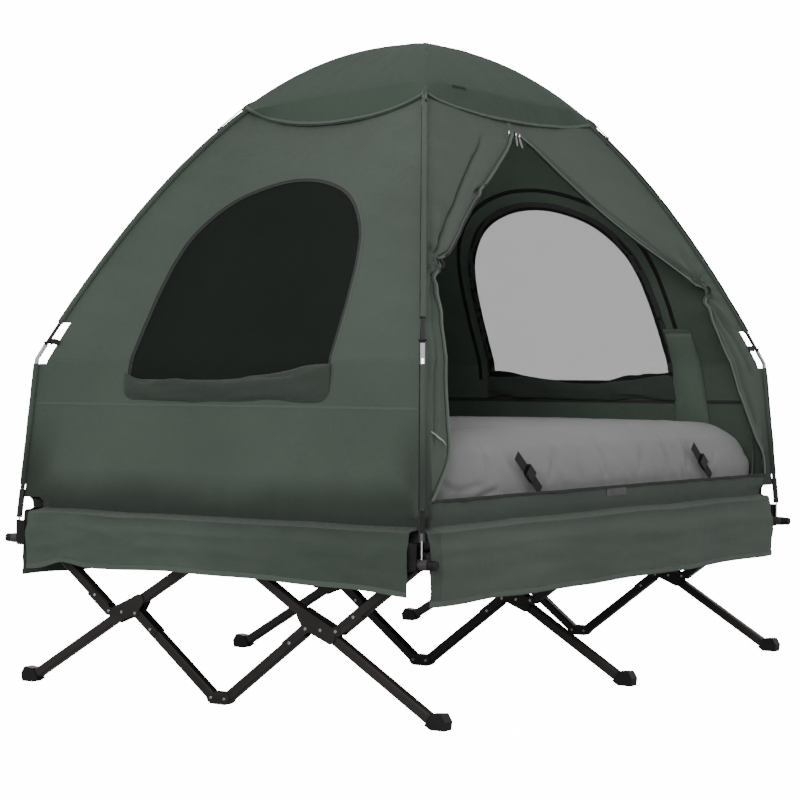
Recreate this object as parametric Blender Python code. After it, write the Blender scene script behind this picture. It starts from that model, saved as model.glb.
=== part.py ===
# A folding tent cot: three scissor leg frames carry a bed, and a dome tent stands over it.
# Metres, +Z up. X runs along the bed, the door side faces -Y, and the ground is z = 0.
# "left" is +Y and "right" is -Y, for a person who looks along +X. "front" is the -X end.
import math

import bmesh
import bpy
from mathutils import Matrix, Vector

# Folding frame
frame_spacing = 0.893
tube_width = 0.025
short_tube_width = 0.026
tube_wall = 0.0012
tube_chamfer = 0.003
rail_height = 0.390
rail_distance = 0.6275
rail_end_gap = 0.0003
rail_overhang = 0.032
hub_height = 0.2105
hub_distance = 0.324
hub_rivet_spacing = 0.046
foot_rivet_distance = 0.0215
foot_rivet_height = 0.0155
top_rivet_distance = 0.030
top_rivet_drop = 0.004
side_rivet_inset = 0.0275
side_rivet_drop = 0.0085
pivot_overrun = 0.005
top_overrun = 0.0065
pivot_setback = 0.015
foot_setback = 0.033

# Stamped brackets, hubs and rivets
bracket_gap = 0.0133
bracket_plate = 0.002
bracket_half_width = 0.038
bracket_height = 0.030
bracket_floor = 0.0015
rail_plate_margin = 0.012
rail_plate_clearance = 0.002
sleeve_gap = 0.0128
sleeve_plate = 0.0015
sleeve_length = 0.085
sleeve_half_width = 0.0143
sleeve_lip = 0.010
sleeve_rivet_distance = 0.064
sleeve_web_setback = 0.020
hub_plate_gap = 0.0146
hub_plate = 0.0016
hub_arm_up = 0.075
hub_arm_down = 0.040
hub_half_width = 0.0145
hub_lobe = 0.0125
hub_washer_radius = 0.007
hub_washer_clearance = 0.0003
rivet_radius = 0.0025
rivet_head_radius = 0.0042
rivet_head_height = 0.0014
rivet_bite = 0.0002
rivet_clearance = 0.0004
loose_rivet_clearance = 0.0021

# Foot caps
foot_cap_wall = 0.003
foot_cap_length = 0.046
foot_cap_outset = 0.01236752
foot_cap_top = 0.040
foot_cap_slant = 0.012
foot_cap_tip = 0.021
foot_cap_toe = 0.0035
fit_gap = 0.0003

# End bars, their caps and the corner fittings
bar_reach = 0.061
bar_overhang = 0.021
bar_radius = 0.013
bar_wall = 0.0012
cap_length = 0.023
cap_radius = 0.0115
cap_flange_radius = 0.0125
cap_flange = 0.004
cap_spigot_radius = 0.0114
cap_spigot = 0.018
cap_chamfer = 0.002
fitting_wall = 0.003
fitting_inset = 0.012
fitting_outset = 0.019
fitting_rise = 0.050
fitting_chamfer = 0.004
fitting_plug_length = 0.028
fitting_plug_margin = 0.0004
socket_radius = 0.0032

# Tent poles, crossing from corner to corner
pole_outset = 0.0235
pole_crown = 1.7600
pole_elbow = 0.868
pole_foot_drop = 0.004
pole_foot = rail_height - pole_foot_drop
pole_radius = 0.005
pole_steel_radius = 0.006
pole_sleeve_radius = 0.008
pole_pin_radius = 0.0025
pole_pin_top_rise = 0.0555
pole_pin_top = rail_height + pole_pin_top_rise
pole_sleeve_top_rise = 0.130
pole_sleeve_top = rail_height + pole_sleeve_top_rise
pole_steel_top_rise = 0.037
pole_steel_top = pole_elbow + pole_steel_top_rise
pole_crossing_drop = 0.0106
pole_elbow_share = 0.96
crossing_share = 0.30
hub_cap_radius = 0.017
hub_cap_rise = 0.0115
hub_cap_drop = 0.0065
hub_cap_top = pole_crown + hub_cap_rise
hub_cap_bottom = pole_crown - hub_cap_drop
hub_cap_dome = 0.005
hub_cap_clearance = 0.0006

# Bed sheet and mattress
sheet_thickness = 0.0015
sheet_gap = 0.0004
sheet_hem = 0.022
mattress_end_inset = 0.042
mattress_side_inset = 0.0275
mattress_gap = 0.0004
mattress_top_rise = 0.316
mattress_top = rail_height + mattress_top_rise
mattress_skin = 0.004
mattress_edge_x = 0.240
mattress_edge_y = 0.120
mattress_crown = 0.014
mattress_draw = 0.010
mattress_end_share = 0.41
mattress_side_share = 0.30
mattress_taper_share = 0.03
valve_radius = 0.007
valve_height_rise = 0.080
valve_height = rail_height + valve_height_rise
valve_reach = 0.030

# Canopy with its skirt, the windows and the roof fly
cloth = 0.002
wall_inset = 0.0054
apex_inset = 0.0172
wall_bottom_rise = 0.060
wall_bottom = rail_height + wall_bottom_rise
end_sag = 0.055
side_sag = 0.048
slit_top_rise = 0.110
slit_top = rail_height + slit_top_rise
wall_tuck = 0.010
tuck_top_rise = 0.185
tuck_top = rail_height + tuck_top_rise
pole_gap_low_drop = 0.013
pole_gap_low = pole_elbow - pole_gap_low_drop
pole_gap_top_rise = 0.097
pole_gap_top = pole_elbow + pole_gap_top_rise
pole_gap_width = 0.030
pole_gap_overrun = 0.040
skirt_end_outset = 0.024
skirt_side_outset = 0.017
end_skirt_bottom_drop = 0.076
end_skirt_bottom = rail_height - end_skirt_bottom_drop
end_skirt_lift = 0.018
side_skirt_bottom_drop = 0.102
side_skirt_bottom = rail_height - side_skirt_bottom_drop
end_slit = 0.031
side_slit = 0.026
bulge_top_rise = 0.080
bulge_top = rail_height + bulge_top_rise
window_half_width = 0.330
window_bottom = 0.815
window_top_drop = 0.415
window_top = pole_crown - window_top_drop
window_lap = 0.014
window_cloth = 0.0015
window_gap = 0.0008
door_top_drop = 0.260
door_top = pole_crown - door_top_drop
door_bottom_rise = 0.145
door_bottom = rail_height + door_bottom_rise
door_jamb = 0.054
curtain_roll = 0.017
curtain_depth_share = 0.62
curtain_seat_share = 0.55
hem_roll = 0.0085
cutter_near = 0.250
cutter_far = 0.750
window_cutter_near = 0.550
window_cutter_far = 1.050
fly_rise = 0.0084
fly_drop = 0.006

# Straps with side-release buckles on the mattress front
strap_width = 0.025
strap_thickness = 0.0016
strap_standoff = 0.0004
buckle_half_length = 0.017
buckle_half_width = 0.016
buckle_half_depth = 0.0045
buckle_wall = 0.0015
plug_depth = 0.014
plug_clearance = 0.0004
strap_upper_length = 0.075
strap_lower_length = 0.057
left_buckle_x = -0.403
right_buckle_x = 0.555
buckle_height_rise = 0.192
buckle_height = rail_height + buckle_height_rise
strap_slope = 38.5

# Tables of shares, with no unit
bracket_shares = [(-1, 0.72), (-0.9, 0.25), (-0.62, 0), (0.62, 0), (0.9, 0.25), (1, 0.72), (0.78, 1), (-0.78, 1)]
upper_level_shares = [0.96, 0.88, 0.78, 0.67, 0.54, 0.39, 0.22]
wall_level_shares = [0.0, 0.10, 0.50]
end_column_shares = [-0.7, -0.35, 0, 0.35, 0.7]
side_column_shares = [-0.72, -0.38, 0, 0.38, 0.72]
window_shares = [
    (-1, 0), (-0.975, 0.34), (-0.925, 0.595), (-0.80, 0.775), (-0.55, 0.915), (-0.26, 0.982), (0, 1),
    (0.26, 0.982), (0.55, 0.915), (0.80, 0.775), (0.925, 0.595), (0.975, 0.34), (1, 0),
]
door_shares = [
    (-0.992, 0.0), (-0.960, 0.030), (-0.898, 0.109), (-0.889, 0.306), (-0.867, 0.417), (-0.819, 0.544),
    (-0.782, 0.592), (-0.674, 0.640), (-0.373, 0.807), (-0.114, 0.941), (-0.021, 1.0), (0.004, 1.0),
    (0.160, 0.886), (0.316, 0.787), (0.668, 0.615), (0.767, 0.570), (0.756, 0.458), (0.786, 0.383),
    (0.932, 0.117), (0.984, 0.059), (0.992, 0.0),
]
left_curtain_shares = [0.40, 0.65, 1.0, 0.92, 0.60, 0.45, 0.70, 0.85, 0.80, 0.55]
right_curtain_shares = [0.9, 1.0, 1.0, 0.75, 0.9, 1.0, 0.9, 0.75]
fly_ring_shares = [0.20, 0.36, 0.52, 0.68, 0.84, 1.0]
fly_corner_share = 0.460
fly_end_share = 0.524
fly_side_share = 0.492
round_sides = 8
curtain_sides = 5
bar_sides = 16
pole_sides = 8
pole_steps = 12
lobe_steps = 3

# Places that follow from the sizes above
bar_distance = frame_spacing + bar_reach
pole_half_x = bar_distance
pole_half_y = rail_distance + pole_outset
bar_half_length = pole_half_y + bar_overhang
cap_end = bar_half_length + cap_length
fitting_near = rail_distance - fitting_inset
fitting_far = rail_distance + fitting_outset
fitting_top = rail_height + fitting_rise
sheet_half_length = frame_spacing + rail_overhang
mattress_half_length = bar_distance - mattress_end_inset
mattress_half_width = rail_distance - mattress_side_inset
skirt_x = bar_distance + skirt_end_outset
skirt_y = pole_half_y + skirt_side_outset
skirt_end_half_width = pole_half_y - end_slit
skirt_side_half_length = bar_distance - side_slit
door_half_width = pole_half_x - door_jamb

colours = {
    "frame": (0.045, 0.038, 0.036),
    "black_plastic": (0.02, 0.02, 0.022),
    "pole": (0.03, 0.03, 0.032),
    "canopy": (0.098, 0.121, 0.103),
    "mesh": (0.05, 0.058, 0.052),
    "bed": (0.06, 0.072, 0.064),
    "mattress": (0.24, 0.24, 0.245),
}

for old in list(bpy.data.objects):
    bpy.data.objects.remove(old)


def material(slot):
    found = bpy.data.materials.get(slot)
    if found:
        return found
    made = bpy.data.materials.new(slot)
    made.use_nodes = True
    shader = made.node_tree.nodes["Principled BSDF"]
    shader.inputs["Base Color"].default_value = (*colours[slot], 1)
    shader.inputs["Roughness"].default_value = 0.3 if slot == "frame" else 0.7
    shader.inputs["Metallic"].default_value = 1 if slot == "frame" else 0
    return made


def build(name, points, faces):
    """One mesh object, its faces turned outwards."""
    mesh = bpy.data.meshes.new(name)
    mesh.from_pydata([tuple(point) for point in points], [], faces)
    shape = bmesh.new()
    shape.from_mesh(mesh)
    bmesh.ops.recalc_face_normals(shape, faces=shape.faces)
    shape.to_mesh(mesh)
    shape.free()
    made = bpy.data.objects.new(name, mesh)
    bpy.context.scene.collection.objects.link(made)
    return made


def combined(base, others, kind):
    """The base joined with, or cut by, the others, which are then removed."""
    for other in others:
        step = base.modifiers.new(kind.lower(), "BOOLEAN")
        step.operation = kind
        step.solver = "EXACT"
        step.object = other
    graph = bpy.context.evaluated_depsgraph_get()
    mesh = bpy.data.meshes.new_from_object(base.evaluated_get(graph))
    base.modifiers.clear()
    base.data = mesh
    for other in others:
        bpy.data.objects.remove(other)
    return base


def joined(base, *others):
    return combined(base, others, "UNION")


def cut(base, *others):
    return combined(base, others, "DIFFERENCE")


def finished(piece, slot, origin):
    """Gives the piece its material, and its origin on the axis that it turns on."""
    piece.data.transform(Matrix.Translation(-Vector(origin)))
    piece.location = origin
    piece.data.materials.clear()
    piece.data.materials.append(material(slot))
    return piece


def copied(piece, name, x):
    twin = piece.copy()
    twin.data = piece.data.copy()
    twin.name = name
    twin.location.x = x
    bpy.context.scene.collection.objects.link(twin)
    return twin


def prism(name, outline, low, high, across="X"):
    """An outline drawn out along one axis: it is (y, z) for X, (x, z) for Y and (x, y) for Z."""
    placed = {
        "X": lambda spot, level: (level, spot[0], spot[1]),
        "Y": lambda spot, level: (spot[0], level, spot[1]),
        "Z": lambda spot, level: (spot[0], spot[1], level),
    }[across]
    count = len(outline)
    points = [placed(spot, level) for level in (low, high) for spot in outline]
    faces = [list(range(count)), list(range(count, 2 * count))]
    faces += [[i, (i + 1) % count, count + (i + 1) % count, count + i] for i in range(count)]
    return build(name, points, faces)


def rectangle(low_a, high_a, low_b, high_b):
    return [(low_a, low_b), (high_a, low_b), (high_a, high_b), (low_a, high_b)]


def arc(centre, radius, start, end, steps):
    """Points on an arc, its angles in degrees."""
    turns = [math.radians(start + (end - start) * i / steps) for i in range(steps + 1)]
    return [(centre[0] + radius * math.cos(turn), centre[1] + radius * math.sin(turn)) for turn in turns]


def circle(centre, radius, sides):
    return arc(centre, radius, 0, 360, sides)[:-1]


def turned(name, profile, centre, sides):
    """A solid turned about an axis along X: the profile is (x, radius), and the centre is (y, z)."""
    rings = [[(x, *spot) for spot in circle(centre, radius, sides)] for x, radius in profile]
    points = [point for ring in rings for point in ring]
    faces = [list(range(sides)), list(range(len(points) - sides, len(points)))]
    for k in range(len(profile) - 1):
        for i in range(sides):
            j = (i + 1) % sides
            faces.append([k * sides + i, k * sides + j, (k + 1) * sides + j, (k + 1) * sides + i])
    return build(name, points, faces)


def rivet(centre, outer_face):
    """A rivet through a pair of plates, with a head on each outer face."""
    inner = outer_face - rivet_bite
    outer = outer_face + rivet_head_height
    profile = [
        (-outer, rivet_head_radius),
        (-inner, rivet_head_radius),
        (-inner, rivet_radius),
        (inner, rivet_radius),
        (inner, rivet_head_radius),
        (outer, rivet_head_radius),
    ]
    return turned("rivet", profile, centre, round_sides)


def pin_hole(centre, clearance):
    reach = 2 * hub_plate_gap
    return turned("hole", [(-reach, rivet_radius + clearance), (reach, rivet_radius + clearance)], centre, round_sides)


class Line:
    """A line in the (y, z) plane: at(along, aside) gives a point beside it."""

    def __init__(self, start, end):
        self.start = Vector(start)
        self.run = Vector(end) - self.start
        self.length = self.run.length
        self.way = self.run.normalized()
        self.side = Vector((-self.way.y, self.way.x))

    def at(self, along, aside=0):
        return tuple(self.start + self.way * along + self.side * aside)


def chamfered(half, chamfer):
    near = half - chamfer
    return [
        (half, -near), (half, near), (near, half), (-near, half),
        (-half, near), (-half, -near), (-near, -half), (near, -half),
    ]


def tube(name, placed, low, high, half, chamfer, wall):
    """A hollow square tube. placed(along, a, b) gives the point at that place along it."""
    outer = chamfered(half, chamfer)
    inner = chamfered(half - wall, chamfer - wall / 2)
    count = len(outer)
    points = [placed(along, *spot) for along in (low, high) for ring in (outer, inner) for spot in ring]
    faces = []
    for i in range(count):
        j = (i + 1) % count
        faces.append([i, j, 2 * count + j, 2 * count + i])
        faces.append([count + i, count + j, 3 * count + j, 3 * count + i])
        faces.append([i, j, count + j, count + i])
        faces.append([2 * count + i, 2 * count + j, 3 * count + j, 3 * count + i])
    return build(name, points, faces)


def leg_tube(name, line, low, high, width):
    def placed(along, a, b):
        y, z = line.at(along, b)
        return (a, y, z)

    return tube(name, placed, low, high, width / 2, tube_chamfer, tube_wall)


def plates(outline, inner, thickness):
    near = prism("plate", outline, -inner - thickness, -inner)
    far = prism("plate", outline, inner, inner + thickness)
    return [near, far]


# The leg frame, one side at a time. side is 1 for +Y and -1 for -Y.
foot_rivet = Vector((foot_rivet_distance, foot_rivet_height))
hub_centre = Vector((hub_distance, hub_height))
inner_rivet = Vector((hub_distance - hub_rivet_spacing, hub_height))
outer_rivet = Vector((hub_distance + hub_rivet_spacing, hub_height))
top_rivet = Vector((top_rivet_distance, rail_height - top_rivet_drop))
side_rivet = Vector((rail_distance - side_rivet_inset, rail_height - side_rivet_drop))
frames = {"front": -frame_spacing, "middle": 0, "rear": frame_spacing}
sides = {"left": 1, "right": -1}


def on_side(spot, side):
    return (side * spot[0], spot[1])


def sleeve(line, side_sign):
    """The channel on a leg end: two cheeks that reach the hub rivet, a web, and a second rivet."""
    lip = -side_sign * sleeve_lip
    wide = side_sign * sleeve_half_width
    outline = [line.at(sleeve_length, lip), line.at(sleeve_length, wide), line.at(0, wide)]
    turns = [math.pi * step / lobe_steps for step in range(1, lobe_steps)]
    outline += [
        line.at(-sleeve_lip * math.sin(turn), (wide + lip) / 2 + (wide - lip) / 2 * math.cos(turn)) for turn in turns
    ]
    outline += [line.at(0, lip)]
    pieces = plates(outline, sleeve_gap, sleeve_plate)
    outer = sleeve_gap + sleeve_plate
    web = [
        line.at(sleeve_web_setback, side_sign * sleeve_gap),
        line.at(sleeve_web_setback, wide - side_sign * rivet_bite),
        line.at(sleeve_length - rivet_bite, wide - side_sign * rivet_bite),
        line.at(sleeve_length - rivet_bite, side_sign * sleeve_gap),
    ]
    pieces.append(prism("web", web, -outer + rivet_bite, outer - rivet_bite))
    pieces.append(rivet(line.at(sleeve_rivet_distance), outer))
    return pieces


def inner_leg(name, side):
    line = Line(on_side(inner_rivet, side), on_side(foot_rivet, side))
    leg = leg_tube(name, line, pivot_setback, line.length + pivot_overrun, short_tube_width)
    joined(leg, *sleeve(line, -side))
    cut(leg, pin_hole(line.at(0), rivet_clearance), pin_hole(line.at(line.length), rivet_clearance))
    return finished(leg, "frame", (0, *on_side(foot_rivet, side)))


def upper_leg(name, side):
    line = Line(on_side(outer_rivet, side), on_side(side_rivet, side))
    leg = leg_tube(name, line, pivot_setback, line.length + pivot_overrun, short_tube_width)
    joined(leg, *sleeve(line, -side))
    cut(leg, pin_hole(line.at(0), rivet_clearance), pin_hole(line.at(line.length), rivet_clearance))
    return finished(leg, "frame", (0, *on_side(outer_rivet, side)))


def outer_line(side):
    """From the top rivet through the hub down to the ground."""
    slope = (top_rivet.y - hub_centre.y) / (hub_centre.x - top_rivet.x)
    ground = Vector((hub_centre.x + hub_centre.y / slope, 0))
    return Line(on_side(top_rivet, side), on_side(ground, side))


def outer_leg(name, side):
    line = outer_line(side)
    leg = leg_tube(name, line, -top_overrun, line.length - foot_setback, tube_width)
    loose = rivet_clearance if side > 0 else loose_rivet_clearance
    cut(leg, pin_hole(line.at(0), loose), pin_hole(on_side(hub_centre, side), rivet_clearance))
    return finished(leg, "frame", (0, *on_side(inner_rivet, side)))


def hub(name, side):
    line = outer_line(side)
    middle = (Vector(on_side(hub_centre, side)) - line.start).length
    lobe_in = Vector(on_side(inner_rivet, side)) - Vector(on_side(hub_centre, side))
    along = lobe_in.dot(line.way)
    beside = lobe_in.dot(line.side)
    flip = 1 if beside > 0 else -1
    wide = hub_half_width

    def lobe(centre_along, centre_beside, start, end):
        spots = arc((centre_along, centre_beside), hub_lobe, start, end, lobe_steps)
        return [(middle + a, flip * b) for a, b in spots]

    top = [(middle - hub_arm_up, -wide), (middle - hub_arm_up - wide / 2, -wide / 2)]
    top += [(middle - hub_arm_up - wide / 2, wide / 2), (middle - hub_arm_up, wide)]
    low = [(middle + hub_arm_down, wide), (middle + hub_arm_down + wide / 2, wide / 2)]
    low += [(middle + hub_arm_down + wide / 2, -wide / 2), (middle + hub_arm_down, -wide)]
    inward = lobe(along, abs(beside), 170, 10)
    outward = lobe(-along, -abs(beside), -10, -170)
    spots = [(a, flip * b) for a, b in top] + inward + [(a, flip * b) for a, b in low] + outward
    outline = [line.at(a, b) for a, b in spots]
    pieces = plates(outline, hub_plate_gap, hub_plate)
    outer = hub_plate_gap + hub_plate
    pieces += [rivet(on_side(spot, side), outer) for spot in (inner_rivet, hub_centre, outer_rivet)]
    washer = tube_width / 2 + hub_washer_clearance
    for face in (-1, 1):
        profile = [(face * washer, hub_washer_radius), (face * (hub_plate_gap + rivet_bite), hub_washer_radius)]
        pieces.append(turned("washer", profile, on_side(hub_centre, side), round_sides))
    made = joined(pieces[0], *pieces[1:])
    made.name = name
    return finished(made, "frame", (0, *on_side(inner_rivet, side)))


def foot_cap(name, side):
    line = outer_line(side)
    half = tube_width / 2 + fit_gap + foot_cap_wall
    rise = -side * half
    upper = line.at(line.length - foot_cap_length, -rise)
    lower = line.at(line.length - foot_cap_length, rise)
    if upper[1] < lower[1]:
        upper, lower = lower, upper
    slope = abs(line.way.y / line.way.x)
    reach = line.at(line.length)[0] + side * foot_cap_outset
    boot = [upper, (reach - side * foot_cap_slant, foot_cap_top), (reach, foot_cap_tip)]
    boot += [(reach - side * foot_cap_toe, 0), (lower[0] + side * lower[1] / slope, 0), lower]
    cap = prism(name, boot, -half, half)
    pocket = tube_width / 2 + fit_gap

    def placed(along, a, b):
        y, z = line.at(along, b)
        return (a, y, z)

    low = line.length - 2 * foot_cap_length
    high = line.length - foot_setback + fit_gap
    corners = [placed(along, a, b) for along in (low, high) for a, b in rectangle(-pocket, pocket, -pocket, pocket)]
    faces = [[0, 1, 2, 3], [4, 5, 6, 7], [0, 1, 5, 4], [1, 2, 6, 5], [2, 3, 7, 6], [3, 0, 4, 7]]
    cut(cap, build("pocket", corners, faces))
    return finished(cap, "black_plastic", (0, *on_side(inner_rivet, side)))


def bottom_bracket(name):
    outline = [(bracket_half_width * a, bracket_height * b) for a, b in bracket_shares]
    outer = bracket_gap + bracket_plate
    pieces = plates(outline, bracket_gap, bracket_plate)
    floor_half = bracket_half_width * bracket_shares[3][0] - rivet_bite
    floor = rectangle(-floor_half, floor_half, 0, bracket_floor)
    pieces.append(prism("floor", floor, -outer + rivet_bite, outer - rivet_bite))
    pieces += [rivet(on_side(foot_rivet, side), outer) for side in sides.values()]
    made = joined(pieces[0], *pieces[1:])
    made.name = name
    return finished(made, "frame", (0, 0, 0))


makers = {
    "inner_leg": inner_leg,
    "upper_leg": upper_leg,
    "outer_leg": outer_leg,
    "hub": hub,
    "foot_cap": foot_cap,
}
for kind, maker in makers.items():
    for side_name, side in sides.items():
        first = maker(f"{kind}_front_{side_name}", side)
        first.location.x = frames["front"]
        for frame_name in ("middle", "rear"):
            copied(first, f"{kind}_{frame_name}_{side_name}", frames[frame_name])
bracket = bottom_bracket("bottom_bracket_front")
bracket.location.x = frames["front"]
for frame_name in ("middle", "rear"):
    copied(bracket, f"bottom_bracket_{frame_name}", frames[frame_name])


# Rails: a square tube with a pair of plates and a rivet at each leg frame
def rail(name, y, rivets, outline, half_length):
    half = tube_width / 2
    body = prism(name, [(y + a, rail_height + b) for a, b in chamfered(half, tube_chamfer)], -half_length, half_length)
    added = []
    for x in frames.values():
        group = plates(outline, bracket_gap, bracket_plate)
        group += [rivet(spot, bracket_gap + bracket_plate) for spot in rivets]
        for piece in group:
            piece.data.transform(Matrix.Translation((x, 0, 0)))
        added += group
    joined(body, *added)
    bore = half - tube_wall
    hollow = [(y + a, rail_height + b) for a, b in chamfered(bore, tube_chamfer / 2)]
    return cut(body, prism("bore", hollow, -2 * half_length, 2 * half_length))


fitting_inner = bar_distance - bar_radius - fit_gap - fitting_wall
rail_half_length = fitting_inner - rail_end_gap
plate_top = rail_height + tube_width / 2 - rail_plate_clearance
for side_name, side in sides.items():
    near, low = side_rivet - Vector((rail_plate_margin, rail_plate_margin))
    far = rail_distance + tube_width / 2 - rail_plate_clearance
    shape = [(near, low), (side_rivet.x + rail_plate_margin, low), (far, rail_height), (far, plate_top)]
    shape += [(side_rivet.x, plate_top), (near, side_rivet.y + rail_plate_clearance)]
    outline = [on_side(spot, side) for spot in shape]
    made = rail(f"side_rail_{side_name}", side * rail_distance, [on_side(side_rivet, side)], outline, rail_half_length)
    finished(made, "frame", (0, *on_side(side_rivet, side)))
wide = top_rivet_distance + rail_plate_margin
shape = [(wide, top_rivet.y), (wide - rail_plate_margin / 2, plate_top), (-wide + rail_plate_margin / 2, plate_top)]
shape += [(-wide, top_rivet.y), (-wide + rail_plate_margin / 2, top_rivet.y - rail_plate_margin)]
shape += [(wide - rail_plate_margin / 2, top_rivet.y - rail_plate_margin)]
spots = [on_side(top_rivet, side) for side in sides.values()]
finished(rail("centre_rail", 0, spots, shape, sheet_half_length), "frame", (0, *top_rivet))


# End bars with their caps, and the corner fittings on the rail ends
def round_tube(name, x, z, half_length, radius, wall):
    rings = []
    for y in (-half_length, half_length):
        for size in (radius, radius - wall):
            rings.append([(x + a, y, z + b) for a, b in circle((0, 0), size, bar_sides)])
    points = [point for ring in rings for point in ring]
    faces = []
    for i in range(bar_sides):
        j = (i + 1) % bar_sides
        for near, far in ((0, 2), (1, 3), (0, 1), (2, 3)):
            faces.append([near * bar_sides + i, near * bar_sides + j, far * bar_sides + j, far * bar_sides + i])
    return build(name, points, faces)


def end_cap(name, end, side):
    profile = [
        (bar_half_length - cap_spigot, cap_spigot_radius - cap_chamfer / 2),
        (bar_half_length + fit_gap, cap_spigot_radius - cap_chamfer / 2),
        (bar_half_length + fit_gap, cap_flange_radius),
        (bar_half_length + cap_flange, cap_flange_radius),
        (bar_half_length + cap_flange, cap_radius),
        (cap_end - cap_chamfer, cap_radius),
        (cap_end, cap_radius - cap_chamfer),
    ]
    made = turned(name, profile, (0, 0), bar_sides)
    made.data.transform(Matrix.Rotation(side * math.pi / 2, 4, "Z"))
    made.data.transform(Matrix.Translation((end * bar_distance, 0, rail_height)))
    return finished(made, "black_plastic", (end * bar_distance, 0, rail_height))


def corner_fitting(name, end, side):
    """A cradle that is open at the top, on a plug in the rail's end."""
    x = end * bar_distance
    hole = bar_radius + fit_gap
    outer = hole + fitting_wall
    trough = arc((0, rail_height), hole, 180, 360, bar_sides // 2)
    outline = [(-outer + fitting_chamfer, rail_height - outer), (outer - fitting_chamfer, rail_height - outer)]
    outline += [(outer, rail_height - outer + fitting_chamfer), (outer, fitting_top), (hole, fitting_top)]
    outline += trough[::-1]
    outline += [(-hole, fitting_top), (-outer, fitting_top), (-outer, rail_height - outer + fitting_chamfer)]
    low, high = sorted((side * fitting_near, side * fitting_far))
    made = prism(name, [(x + a, b) for a, b in outline], low, high, "Y")
    plug = tube_width / 2 - tube_wall - fitting_plug_margin
    section = [(side * rail_distance + a, rail_height + b) for a, b in chamfered(plug, tube_chamfer / 2)]
    inner = end * (bar_distance - hole - fitting_wall / 2)
    low, high = sorted((inner, inner - end * (fitting_wall / 2 + fitting_plug_length)))
    joined(made, prism("plug", section, low, high))
    return finished(made, "black_plastic", (0, *on_side(side_rivet, side)))


for end_name, end in (("front", -1), ("rear", 1)):
    bar = round_tube(f"end_bar_{end_name}", end * bar_distance, rail_height, bar_half_length, bar_radius, bar_wall)
    sockets = [
        prism("socket", circle((end * bar_distance, side * pole_half_y), socket_radius, round_sides),
              rail_height, rail_height + 2 * bar_radius, "Z")
        for side in sides.values()
    ]
    cut(bar, *sockets)
    finished(bar, "frame", (end * bar_distance, 0, rail_height))
    for side_name, side in sides.items():
        end_cap(f"end_cap_{end_name}_{side_name}", end, side)
        corner_fitting(f"corner_fitting_{end_name}_{side_name}", end, side)


# Tent poles: an arch to the elbow, then nearly upright to the end bar's socket
arch_drop = (pole_crown - pole_elbow) / pole_elbow_share**2


def pole_height(share):
    """The pole's height where it has gone out by this share of the way to its corner."""
    if share <= pole_elbow_share:
        return pole_crown - arch_drop * share**2
    return pole_elbow + (share - pole_elbow_share) / (1 - pole_elbow_share) * (pin_level - pole_elbow)


def pole_share(height):
    if height >= pole_elbow:
        return math.sqrt((pole_crown - height) / arch_drop)
    return pole_elbow_share + (1 - pole_elbow_share) * (pole_elbow - height) / (pole_elbow - pin_level)


pin_level = pole_pin_top


def pole(name, tilt, drop):
    """One pole in the upright plane of a diagonal. tilt is 1 or -1, and drop lets it pass under the other."""
    shares = [pole_elbow_share * i / pole_steps for i in range(pole_steps + 1)]
    steel = pole_share(pole_steel_top)
    spots = [(share, pole_height(share), pole_radius) for share in shares if share < steel]
    spots += [(steel, pole_steel_top, pole_radius), (steel, pole_steel_top, pole_steel_radius)]
    spots += [(pole_elbow_share, pole_elbow, pole_steel_radius)]
    sleeve_share = pole_share(pole_sleeve_top)
    spots += [(sleeve_share, pole_sleeve_top, pole_steel_radius), (sleeve_share, pole_sleeve_top, pole_sleeve_radius)]
    spots += [(1, pole_pin_top, pole_sleeve_radius), (1, pole_pin_top, pole_pin_radius)]
    spots += [(1, pole_foot, pole_pin_radius)]
    fall = [drop * max(0, 1 - (spot[0] / crossing_share) ** 2) ** 2 for spot in spots]
    half = [(share, height - low, radius) for (share, height, radius), low in zip(spots, fall)]
    whole = [(-share, height, radius) for share, height, radius in half[:0:-1]] + half
    way = Vector((pole_half_x, tilt * pole_half_y, 0))
    across = Vector((-way.y, way.x, 0)).normalized()
    centres = [way * share + Vector((0, 0, height)) for share, height, radius in whole]
    points = []
    for i, centre in enumerate(centres):
        before = next((c for c in centres[i::-1] if (centre - c).length > rivet_bite), centre)
        after = next((c for c in centres[i:] if (centre - c).length > rivet_bite), centre)
        normal = (after - before).cross(across).normalized()
        for k in range(pole_sides):
            turn = 2 * math.pi * (k + 0.5) / pole_sides
            points.append(centre + whole[i][2] * (math.cos(turn) * across + math.sin(turn) * normal))
    faces = [list(range(pole_sides)), list(range(len(points) - pole_sides, len(points)))]
    for i in range(len(centres) - 1):
        for k in range(pole_sides):
            j = (k + 1) % pole_sides
            here, there = i * pole_sides, (i + 1) * pole_sides
            faces.append([here + k, here + j, there + j, there + k])
    return finished(build(name, points, faces), "pole", (0, 0, pole_crown))


pole("pole_over", 1, 0)
pole("pole_under", -1, pole_crossing_drop)

# The cap that holds the crossing
cap = turned("apex_cap", [(hub_cap_bottom, hub_cap_radius), (hub_cap_top - hub_cap_dome, hub_cap_radius),
                          (hub_cap_top, hub_cap_radius - hub_cap_dome)], (0, 0), bar_sides)
cap.data.transform(Matrix.Rotation(-math.pi / 2, 4, "Y"))
slots = []
for tilt, top in ((1, pole_crown + pole_radius), (-1, pole_crown - pole_crossing_drop + pole_radius)):
    half = pole_radius + hub_cap_clearance
    reach = 2 * hub_cap_radius
    slot = prism("slot", rectangle(-reach, reach, -half, half), hub_cap_bottom - reach, top + hub_cap_clearance, "Z")
    slot.data.transform(Matrix.Rotation(math.atan2(tilt * pole_half_y, pole_half_x), 4, "Z"))
    slots.append(slot)
cut(cap, *slots)
finished(cap, "black_plastic", (0, 0, pole_crown))

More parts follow.
